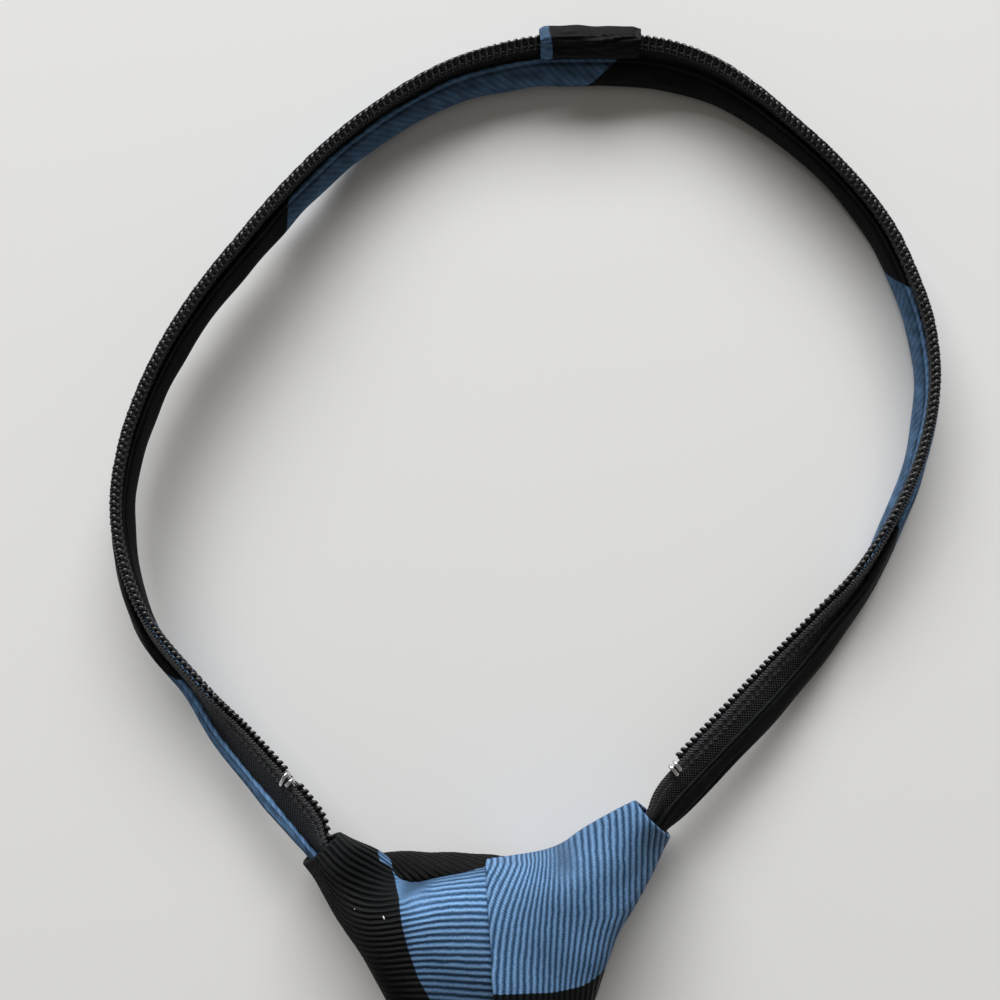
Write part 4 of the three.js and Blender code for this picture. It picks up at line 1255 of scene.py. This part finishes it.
@dataclass
class JoinCover:
    """Cloth gathered over the join of the two straps."""

    left: Rail
    right: Rail

    blue_end = 1.85
    room_over_coil = 0.1
    top_wall = 0.65
    rings = 110
    gather_pitch = 1.25
    seam = 0.2

    def outlines(self) -> tuple[Array, Array]:
        """The section's outer and inner outline.

        Returns:
            r and t of the points of each, from the foot over the top and back.
        """
        room, wall = BAND.cover_room, BAND.cover_wall
        back = -BAND.coil_standoff - BAND.coil_thickness - room
        front = BAND.tape_thickness + room
        top, foot = BAND.coil_tip + self.room_over_coil, BAND.cloth_edge + BAND.clearance
        gathered, behind = foot + BAND.cover_gather, -BAND.clearance
        outer = flow_through(np.array([
            (foot, front), (foot - 0.02, front + wall * 0.6), (foot + 0.4, front + wall),
            (foot + 2.5, front + wall), (top - 0.6, front + wall - 0.1),
            (top + self.top_wall * 0.7, front + wall * 0.4), (top + self.top_wall, (front + back) / 2),
            (top + self.top_wall * 0.7, back - wall * 0.4), (top - 0.6, back - wall + 0.1),
            (gathered + 0.3, back - wall), (foot + 0.5, behind - wall - 0.1),
            (foot - 0.02, behind - wall * 0.6), (foot, behind),
        ]), 70)
        inner = flow_through(np.array([
            (gathered, back), (top - 0.5, back), (top, (front + back) / 2), (top - 0.5, front),
            (foot + 0.4, front),
        ]), 20)
        return outer, inner

    def build(self, looks: Looks) -> bpy.types.Object:
        """Makes the piece."""
        outer, inner = self.outlines()
        section = np.vstack([outer, inner])
        girth = np.concatenate([[0], np.cumsum(np.linalg.norm(np.diff(section, axis=0), axis=1))])
        run = np.linspace(-BAND.cover_on_left, BAND.cover_on_right, self.rings)
        lefts = self.left.at(-run[run <= 0])
        lefts.d = -lefts.d
        frames = lefts.joined(self.right.at(run[run > 0]))
        place, g = run[:, None], girth[None, :]
        is_outer = (np.arange(len(section)) < len(outer))[None, :]
        dr, dt = (-v for v in StrapCloth.outward(section[:, 0], section[:, 1]))
        ends = smooth_step(place, -BAND.cover_on_left - 0.1, -BAND.cover_on_left + 0.9)
        ends = ends * smooth_step(-place, -BAND.cover_on_right - 0.1, -BAND.cover_on_right + 0.9)
        top_girth = float(girth[section[:len(outer), 0].argmax()])
        near_top = bell(g, top_girth + 1.6, 2.6)
        drift = g + 0.1 * place + 0.5 * np.sin(place / 4.0)
        folds = (0.5 + 0.5 * np.sin(2 * np.pi * drift / self.gather_pitch)) ** 1.5
        dent = -0.25 * bell(place, -6.5, 2.2) * bell(g, top_girth, 2.2)
        dent = dent - (0.05 + 0.3 * smooth_step(place, -12.0, 0.0)) * bell(g, top_girth, 2.6)
        corner = smooth_step(place, BAND.cover_on_right - 2.4, BAND.cover_on_right) ** 2
        dent = dent - 0.8 * corner * bell(g, top_girth, 2.4)
        uneven = 0.1 * ripple(place / 2.5, g, 5, 3.0)
        lift = is_outer * ((0.34 * (folds - 0.5) * near_top + dent + uneven) * ends - 0.45 * (1 - ends))
        points = frames.put(section[:, 0] + dr * lift, section[:, 1] + dt * lift)
        points[..., 2] = np.maximum(points[..., 2], OVER_TABLE)
        ribs = (np.append(girth, girth[-1] + self.seam)[None, :] * 0.97 - place * 0.24) / RIB_PITCH
        cross = place + 0 * ribs
        blue = self.blue_end - (place + BAND.cover_on_left) + 0.25 * np.sin(g / 1.7)
        # The cloth's colour is darker along the cover's top.
        grid = Grid(points, np.stack([ribs, cross], axis=2), close_ring=True, capped=True,
                    values={"blue": blue, "relief": np.full(blue.shape, 0.3),
                            "tone_and_painted_light": 0 * blue - 0.65 * bell(g, top_girth, 3.4)})
        piece = Piece("cover_over_join", looks.cloth, "black_cloth", ("join_cover",))
        return piece.hang(grid.mesh("cover_over_join"))


class KnotWing:
    """One half of the knot's front with its ear, a flattened sleeve of ribbed cloth."""

    rib_height = 0.24
    softening = 0.55
    edge_rows = 7
    inner_rows = 26
    # The deepest painted shade allowed, as a share of the plain colour.
    darkest = -0.85

    def __init__(self, table: Table, rail: Rail, rows: int, ring: int) -> None:
        """Takes the wing's sections.

        Args:
            table: The sections past the ear's mouth.
            rail: The strap that runs in.
            rows: How many sections the outer wall gets.
            ring: How many points each gets.
        """
        self.table = table
        self.ear = rail.at(np.array([rail.mouth]))
        self.side = rail.side
        self.count = rows
        self.ring = ring
        self.front: Array | None = None

    def axes(self, at: Array) -> tuple[Array, Array, Array]:
        """Top end, low end and thickness of the sections, with the change behind the ear softened."""
        reach = self.softening * np.clip(np.minimum(at, len(self.table) - at) / self.softening, 0, 1)
        near = [self.sharp_axes(at + reach * share) for share in (-1.0, -0.5, 0.0, 0.5, 1.0)]
        top, low, thick = (sum(parts) / len(near) for parts in zip(*near))
        return top, low, thick

    def sharp_axes(self, at: Array) -> tuple[Array, Array, Array]:
        """Top end, low end and thickness of the sections at row numbers, 0 at the ear's mouth."""
        row = np.maximum(at - 1, 0)
        scale = np.array([KNOT.width, KNOT.height, KNOT.thickness])
        top = np.stack([self.table.at(f"top{k}", row) for k in "XYZ"], axis=1) * scale
        low = np.stack([self.table.at(f"low{k}", row) for k in "XYZ"], axis=1) * scale
        thick = self.table.at("thick", row) * KNOT.thickness
        fit = KNOT.ear_room + KNOT.wall
        mouth_top = self.ear.place + self.ear.e * (BAND.coil_tip + fit)
        mouth_low = self.ear.place - self.ear.e * (BAND.fold_radius + fit)
        f = np.clip(at, 0, 1)[:, None]
        top = mouth_top * (1 - f) + top * f
        low = mouth_low * (1 - f) + low * f
        return top, low, (BAND.fold_thickness + 2 * fit) * (1 - f[:, 0]) + thick * f[:, 0]

    def rings(self, at: Array, inset: Array, angle: Array) -> Array:
        """Section points, (n, m, 3), at angles from the top edge over the front."""
        top, low, thick = self.axes(at)
        centre = (top + low) / 2
        long = top - low
        half = np.linalg.norm(long, axis=1) / 2 - inset
        depth = thick / 2 - inset
        e = unit(long)
        flat = unit(e * np.array([1, 1, 0]))
        n = unit(np.cross(e, np.cross(UP, flat)))
        n = np.where(n[:, 2:] < 0, -n, n)
        power = 2 / KNOT.exponent
        cos, sin = (np.sign(v) * np.abs(v) ** power for v in (np.cos(angle), np.sin(angle)))
        points = centre[:, None] + e[:, None] * (cos * half[:, None])[..., None]
        points = points + n[:, None] * (sin * depth[:, None])[..., None]
        floor = KNOT.band_thickness + BAND.clearance + inset
        points[..., 2] = np.maximum(points[..., 2], floor[:, None])
        return points

    def even_angles(self, at: Array, inset: Array) -> Array:
        """Angles that part each section into even steps of girth."""
        dense = np.linspace(0, 2 * np.pi, 1441)
        rough = self.rings(at, inset, np.broadcast_to(dense, (len(at), len(dense))))
        run = run_along(rough, 1)
        share = np.linspace(0, 1, self.ring, endpoint=False)
        return np.stack([np.interp(share * line[-1], line, dense) for line in run])

    def ribs(self, points: Array, girth: Array) -> Array:
        """Number of ribs passed at each point, from an edge."""
        if self.side is Side.LEFT:
            half = girth[:, -1:] / 2
            return (half - np.abs(girth - half)) / RIB_PITCH
        x, y = points[..., 0], points[..., 1]
        top = np.interp(x, *RIGHT_RIB_START)
        below = np.maximum(top - y, 0)
        fan = 5.0 * np.exp(-below / 5.5) * (1 - smooth_step(x, 4, 15))
        lean = 0.34 * smooth_step(x, 7, 26) * np.maximum(10 - y, 0)
        return (x - fan + lean) / RIB_PITCH

    def blue(self, points: Array) -> Array:
        """Signed distance to the colour change, above 0 in the blue."""
        x, y = points[..., 0], points[..., 1]
        if self.side is Side.LEFT:
            return x - np.interp(y, *LEFT_COLOUR_CHANGE)
        return y - np.interp(x, *RIGHT_COLOUR_CHANGE)

    def sag(self, points: Array) -> tuple[Array, Array]:
        """How deep the front is pressed in, and how much of the rib relief is left."""
        x, y = points[..., 0], points[..., 1]
        if self.side is Side.LEFT:
            hollow = bell(x, -13.4, 2.6) * bell(y, 13.4, 1.6)
            low = np.interp(x, *LEFT_TOP_EDGE) - np.interp(x, *LEFT_STRIP_WIDTH)
            strip = smooth_step(y, low - 0.4, low + 0.3) * smooth_step(x, -18.5, -16)
            return 1.9 * hollow + 0.3 * strip, 1 - np.clip(0.5 * hollow + strip, 0, 1)
        dimple = bell(x, 13.3, 2.4) * bell(y, 19.0, 2.6)
        tuck = bell(x, 0.8, 1.5) * bell(y, 15.5, 2.2)
        return 0.9 * dimple + 1.0 * tuck, 1 - 0.7 * dimple

    def tone_and_painted_light(self, points: Array) -> Array:
        """How much lighter or darker the cloth is than its plain colour, as a share: mostly painted light
        and shade.
        """
        x, y = points[..., 0], points[..., 1]
        if self.side is Side.LEFT:
            # Painted light: the front is lighter towards its top, which faces the window, and darker
            # towards its foot.
            fade = smooth_step(y, -9.0, 13.0)
            top = np.interp(x, *LEFT_STRIP_FOOT)
            # A painted highlight band just under the folded strip.
            painted_highlight = 0.3 * bell(y, top - 3.0, 2.4) * smooth_step(x, -16, -11)
            # Painted shade in the folded strip, in the hollow and below the ear.
            strip = smooth_step(y, top - 0.4, top + 0.4) * smooth_step(x, -17, -15)
            hollow = bell(x, -13.0, 2.6) * bell(y, 14.0, 1.4)
            painted_shade_below_ear = 0.35 * (1 - smooth_step(y, 4, 13)) * (1 - smooth_step(x, -16, -13))
            tone_and_painted_light = 0.74 * fade - 0.72 + painted_highlight - 0.42 * strip - 0.25 * hollow - painted_shade_below_ear
            return np.maximum(tone_and_painted_light, self.darkest)
        # Right wing: lighter towards the knot's middle, a little darker overall, and painted shade in the
        # dimple.
        dimple = bell(x, 13.3, 1.8) * bell(y, 19.2, 2.0)
        return 0.2 * (1 - smooth_step(x, 4, 13)) - 0.12 - 0.35 * dimple

    def build(self, looks: Looks) -> bpy.types.Object:
        """Makes the piece: outer wall, rolled edges and inner wall, cut open at the foot."""
        wall = KNOT.wall
        last = float(len(self.table))
        edge, inner = self.edge_rows, self.inner_rows
        bend = np.linspace(0, np.pi, edge + 2)[1:-1]
        outer_at = np.linspace(0, last, self.count)
        inner_at = np.linspace(last, 0, inner)
        at = np.concatenate([np.zeros(edge), outer_at, np.full(edge, last), inner_at])
        roll_in = wall / 2 * (1 + np.cos(bend))
        inset = np.concatenate([roll_in, np.zeros(self.count), roll_in[::-1], np.full(inner, wall)])
        bulge = np.sin(bend) * wall / 2
        push = np.concatenate([-bulge, np.zeros(self.count), bulge, np.zeros(inner)])
        angle = self.even_angles(at, inset)
        points = self.rings(at, inset, angle)
        mean = self.rings(outer_at, np.zeros(self.count), angle[edge:edge + self.count]).mean(axis=1)
        first, final = unit(mean[1] - mean[0]), unit(mean[-1] - mean[-2])
        heading = np.where((np.arange(len(at)) < len(at) // 4)[:, None], first, final)
        points = points + (heading * push[:, None])[:, None]
        is_outer = (inset < wall * 0.5)[:, None]
        closed = closed_ring(points)
        girth = run_along(closed, 1)
        ribs = self.ribs(closed, girth)
        depth, relief = self.sag(points)
        on_front = smooth_step(points[..., 2], 7.0, 11.0) * is_outer
        crest = np.abs(np.sin(np.pi * ribs[:, :-1])) ** 1.1
        normal = self.normals(points)
        uneven = 0.16 * ripple(points[..., 0], points[..., 1], 3, 14.0)
        facing_up = 0.25 + 0.75 * smooth_step(np.abs(normal[..., 2]), 0.25, 0.7)
        raised = is_outer * (self.rib_height * (crest - 0.6) * relief * facing_up + uneven)
        points = points + normal * raised[..., None]
        points[..., 2] -= depth * on_front
        cross = closed[..., 1] if self.side is Side.RIGHT else closed[..., 0]
        side = self.side.name.lower()
        values = {"blue": self.blue(points), "relief": 0.04 + 0.96 * relief, "tone_and_painted_light": self.tone_and_painted_light(points)}
        grid = Grid(points, np.stack([ribs, cross], axis=2), close_ring=True, values=values)
        self.front = points[edge:edge + self.count].reshape(-1, 3)
        mesh = grid.mesh(f"wing_{side}")
        self.open_foot(mesh)
        return Piece(f"wing_{side}", looks.cloth, "striped_cloth", (f"knot_{side}_wing",)).hang(mesh)

    @staticmethod
    def normals(points: Array) -> Array:
        """Outward directions of a grid whose rings close.

        Args:
            points: (n, m, 3) points.

        Returns:
            (n, m, 3) directions of length 1.
        """
        ahead = np.gradient(points, axis=0)
        around = np.roll(points, -1, axis=1) - np.roll(points, 1, axis=1)
        normal = unit(np.cross(ahead, around))
        outward = points - points.mean(axis=1, keepdims=True)
        sign = np.sign(np.einsum("ijk,ijk->ij", normal, outward).mean(axis=1))
        return normal * sign[:, None, None]

    @staticmethod
    def open_foot(mesh: bpy.types.Mesh) -> None:
        """Cuts the sleeve at the knot's foot and closes the cut cloth's thickness."""
        work = bmesh.new()
        work.from_mesh(mesh)
        cut = bmesh.ops.bisect_plane(
            work, geom=work.verts[:] + work.edges[:] + work.faces[:], plane_co=(0, KNOT.foot_y * MM, 0),
            plane_no=(0, -1, 0), clear_outer=True,
        )
        edges = [g for g in cut["geom_cut"] if isinstance(g, bmesh.types.BMEdge)]
        bmesh.ops.triangle_fill(work, edges=edges, use_beauty=False, normal=(0, -1, 0))
        work.to_mesh(mesh)
        work.free()

    def place_on_front(self, x: float, y: float) -> Array:
        """The point of the front surface above a place."""
        near = np.hypot(self.front[:, 0] - x, self.front[:, 1] - y) < 0.6
        return self.front[near][self.front[near][:, 2].argmax()]


class BackBand:
    """The flat band behind the knot and the roll that shows over its top edge."""

    # Height and inset of the plate's edge, from its underside up.
    edge = ((0.0, 0.7), (0.0, 0.35), (0.25, 0.05), (0.8, 0.0), (1.25, 0.05), (1.5, 0.4), (1.5, 0.8))
    mean_radius = 20.0
    roll_rows = 190
    roll_ring = 72

    def build(self, looks: Looks) -> list[bpy.types.Object]:
        """Makes the pieces."""
        return [self.plate(looks), self.roll(looks)]

    def plate(self, looks: Looks) -> bpy.types.Object:
        """The flat of the band, with soft edges."""
        scale = np.array([KNOT.width, KNOT.height])
        line = flow_through(BAND_OUTLINE * scale, 160, closed=True)
        centre = line.mean(axis=0)
        rings = []
        for height, inset in self.edge:
            inner = centre + (line - centre) * (1 - inset / self.mean_radius)
            rings.append(np.column_stack([inner, np.full(len(line), height)]))
        points = np.stack(rings)
        closed = closed_ring(points)
        uv = np.stack([(closed[..., 0] + closed[..., 1]) / RIB_PITCH / 1.414, closed[..., 0]], axis=2)
        shape = points.shape[:2]
        grid = Grid(points, uv, close_ring=True, capped=True,
                    values={"blue": np.full(shape, ALL_BLACK), "relief": np.ones(shape)})
        piece = Piece("band_plate", looks.cloth, "black_cloth", ("knot_back_band",))
        return piece.hang(grid.mesh("band_plate"))

    def roll(self, looks: Looks) -> bpy.types.Object:
        """The roll, with slanting ribs."""
        at = np.linspace(0, len(ROLL_ROWS) - 1, self.roll_rows)
        angle = np.linspace(0, 2 * np.pi, self.roll_ring, endpoint=False)
        x = ROLL_ROWS.at("x", at)[:, None] * KNOT.width + 0 * angle
        depth = ROLL_ROWS.at("depth", at)[:, None]
        y = (ROLL_ROWS.at("y", at)[:, None] + np.cos(angle) * depth) * KNOT.height
        height = ROLL_ROWS.at("height", at)[:, None]
        z = np.maximum((1 + np.sin(angle)) * height * KNOT.thickness, 0.0)
        points = np.stack([x, y, z], axis=2)
        closed = closed_ring(points)
        girth = run_along(closed, 1)
        ribs = (0.62 * closed[..., 0] + 0.85 * (girth[:, -1:] - girth)) / RIB_PITCH
        crest = np.abs(np.sin(np.pi * ribs[:, :-1])) ** 0.75
        normal = KnotWing.normals(points)
        lift = 0.24 * (crest - 0.8) + 0.15 * ripple(x, y + z, 9, 12.0)
        points = points + normal * lift[..., None]
        points[..., 2] = np.maximum(points[..., 2], 0.0)
        shape = points.shape[:2]
        # The roll's cloth is darker all over.
        grid = Grid(points, np.stack([ribs, closed[..., 0]], axis=2), close_ring=True, capped=True,
                    values={"blue": np.full(shape, ALL_BLACK), "relief": np.full(shape, 1.2),
                            "tone_and_painted_light": np.full(shape, -0.7)})
        return Piece("band_roll", looks.cloth, "black_cloth").hang(grid.mesh("band_roll"))


class BladePiece:
    """The blade below the knot, in slanting stripes."""

    rows = 260
    tip_rows = 70
    stripe_start = 8.0

    def build(self, looks: Looks) -> bpy.types.Object:
        """Makes the piece."""
        length = BLADE.tie_length - KNOT.height
        shoulder = 1 - BLADE.width / 2 / length
        rows = Table("along width thick lift", [*map(tuple, BLADE_ROWS.rows), (shoulder, 1, 1, 0)])
        at = np.linspace(0, len(rows) - 1, self.rows)
        lift = KNOT.band_thickness + 2 * BAND.clearance + KNOT.wall
        y = KNOT.foot_y - rows.at("along", at) * length
        width = rows.at("width", at) * BLADE.width
        thick = rows.at("thick", at) * BLADE.thickness
        low = np.maximum(rows.at("lift", at), 0) * lift
        f = np.linspace(0, 1, self.tip_rows)[1:]
        tip_y = y[-1] + f * (KNOT.foot_y - length - y[-1])
        y = np.concatenate([[KNOT.foot_y + KNOT.blade_tuck], y, tip_y])
        width = np.concatenate([width[:1], width, BLADE.width * (1 - f) + BLADE.tip_width * f])
        tip = BLADE.thickness * (1 - f**3 * (1 - BLADE.tip_thickness))
        thick = np.concatenate([thick[:1], thick, tip])
        low = np.concatenate([low[:1], low, 0 * f])
        half = flow_through(BLADE_SECTION.rows, 40)
        section = np.vstack([half, (half * np.array([-1, 1]))[-2:0:-1]])
        side, up = section[:, 0], section[:, 1]
        x = side[None, :] * width[:, None] / 2
        z = low[:, None] + up[None, :] * thick[:, None]
        bottom = np.maximum(1 - up * 6, 0)[None, :]
        seam = 0.5 * bottom * bell(x, 0.0, 0.7) * smooth_step(KNOT.foot_y - y, 40, 60)[:, None]
        quilt = 0.16 * ripple(x, y[:, None] * 0.6, 21, 40.0) * (up > 0.5)[None, :]
        near_knot = np.exp(-np.maximum(KNOT.foot_y - y, 0) / 16)[:, None]
        dimple = -1.1 * (up > 0.3) * bell(x, 0, 3.5) * near_knot
        z = np.maximum(z + seam + quilt + dimple, 0.0)
        points = np.stack([x, np.broadcast_to(y[:, None], x.shape), z], axis=2)
        closed = closed_ring(points)
        mirror = np.where(closed[..., 2] < closed[..., 2].mean(axis=1, keepdims=True), -1.0, 1.0)
        ribs = (closed[..., 0] * mirror + closed[..., 1]) / math.sqrt(2) / RIB_PITCH
        cross = (closed[..., 0] * mirror - closed[..., 1]) / math.sqrt(2)
        q = cross[:, :-1]
        blue = BLADE.stripe / 2 - np.abs(np.mod(q - self.stripe_start, 2 * BLADE.stripe) - BLADE.stripe)
        grid = Grid(points, np.stack([ribs, cross], axis=2), close_ring=True, capped=True,
                    values={"blue": blue, "relief": np.ones(blue.shape)}, sharp=50.0)
        return Piece("tie_blade", looks.cloth, "striped_cloth", ("blade",)).hang(grid.mesh("tie_blade"))


class LintSpecks:
    """Two white specks of lint on the black wing."""

    # Place, half length and half width of each, and the way it points.
    places = ((-24.75, 10.85, 0.1, 0.09), (-19.35, 9.95, 0.36, 0.14))
    axes = ((0.6, 0.8, 0.1), (0.35, -0.93, 0.05))

    def build(self, looks: Looks, wing: KnotWing) -> bpy.types.Object:
        """Makes the piece on the wing's surface."""
        points, faces = [], []
        for axis, (x, y, half, radius) in zip(np.array(self.axes), self.places):
            centre = wing.place_on_front(x, y) + UP * 0.08
            some, quads = beads(centre[None], axis[None], half, radius)
            faces.append(quads + sum(map(len, points)))
            points.append(some)
        mesh = plain_mesh("lint", np.vstack(points), np.vstack(faces))
        return Piece("lint", looks.lint, "striped_cloth").hang(mesh)


@dataclass(frozen=True)
class Studio:
    """The camera over the loop and the light of one soft window."""

    camera: tuple[float, float, float] = (1.8, 84.0, 240.0)
    lens: float = 44.93
    window: tuple[float, float, float] = (-280.0, 2130.0, 1280.0)
    window_width: float = 3.0
    window_height: float = 1.05
    window_power: float = 116.0
    window_aim: tuple[float, float, float] = (5.0, 80.0, 0.0)
    sky: float = 0.17
    sky_colour: tuple[float, float, float, float] = (1.0, 0.93, 0.83, 1)
    floor_half: float = 3.0
    floor_height: float = -0.0001

    def build(self, looks: Looks) -> None:
        """Adds the camera, the floor and the lights."""
        scene = bpy.context.scene
        data = bpy.data.cameras.new("Camera")
        data.lens = self.lens
        data.sensor_width = 36.0
        data.clip_start = 0.01
        data.clip_end = 20.0
        camera = bpy.data.objects.new("Camera", data)
        camera.location = [v * MM for v in self.camera]
        scene.collection.objects.link(camera)
        scene.camera = camera
        mesh = bpy.data.meshes.new("table_top")
        half = self.floor_half
        corners = ((-half, -half), (half, -half), (half, half), (-half, half))
        mesh.from_pydata([(x, y, self.floor_height) for x, y in corners], [], [(0, 1, 2, 3)])
        mesh.materials.append(looks.floor)
        floor = bpy.data.objects.new("table_top", mesh)
        scene.collection.objects.link(floor)
        self.add_window()
        world = bpy.data.worlds.new("room")
        world.use_nodes = True
        background = world.node_tree.nodes["Background"]
        background.inputs["Color"].default_value = self.sky_colour
        background.inputs["Strength"].default_value = self.sky
        scene.world = world
        scene.view_settings.view_transform = "Standard"

    def add_window(self) -> None:
        """A wide area light aimed at the loop's middle."""
        data = bpy.data.lights.new("window", "AREA")
        data.shape = "RECTANGLE"
        data.size = self.window_width
        data.size_y = self.window_height
        data.energy = self.window_power
        lamp = bpy.data.objects.new("window", data)
        start = np.array(self.window) * MM
        lamp.location = start.tolist()
        aim = np.array(self.window_aim) * MM - start
        pitch = math.atan2(math.hypot(aim[0], aim[1]), -aim[2])
        lamp.rotation_euler = (pitch, 0.0, math.atan2(-aim[0], aim[1]))
        bpy.context.scene.collection.objects.link(lamp)


def finish_slider(nodes: dict[str, bpy.types.Object], looks: Looks) -> None:
    """Gives the hidden slider its steel."""
    slider = nodes["zip_slider"]
    slider.data.materials.clear()
    slider.data.materials.append(looks.steel)


def main() -> None:
    """Builds the tie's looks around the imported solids."""
    logging.basicConfig(level=logging.INFO)
    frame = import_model()
    looks = Looks()
    left, right = Rail(LEFT_ROWS, Side.LEFT), Rail(RIGHT_ROWS, Side.RIGHT)
    StrapCloth(left, STRIPES[Side.LEFT], ((4.6, 62.0), (6.3, 55.0)), (152.0, 2.7)).build(looks)
    StrapCloth(right, STRIPES[Side.RIGHT], ((5.2, 30.0),), (136.0, 0.7)).build(looks)
    beside_stop = BAND.stop_length / 2 + BAND.clearance
    left_stop = left.mouth - BAND.left_stop_to_ear
    right_stop = right.mouth - BAND.right_stop_to_ear
    ZipCoil(left, "coil_left", 0.0, left_stop - beside_stop).build(looks)
    ZipCoil(left, "coil_left_end", left_stop + beside_stop, left.mouth + 1.0).build(looks)
    ZipCoil(right, "coil_right", 0.0, right_stop - beside_stop).build(looks)
    left_bars = ((-0.75, -0.3, 5.6), (0.4, -0.05, 6.9))
    right_bars = ((-0.55, -0.1, 6.6), (0.5, -0.06, 6.3))
    for rail, stop, sewn, bars in ((left, left_stop, left.mouth, left_bars),
                                   (right, right_stop, right_stop - beside_stop, right_bars)):
        ZipTape(rail).build(looks)
        CoilStitches(rail, sewn).build(looks)
        ZipStop(rail, stop, bars).build(looks)
    JoinCover(left, right).build(looks)
    wing = KnotWing(LEFT_WING_ROWS, left, 120, 560)
    wing.build(looks)
    KnotWing(RIGHT_WING_ROWS, right, 250, 300).build(looks)
    BackBand().build(looks)
    BladePiece().build(looks)
    LintSpecks().build(looks, wing)
    finish_slider(frame["nodes"], looks)
    Studio().build(looks)


if __name__ == "__main__":
    main()
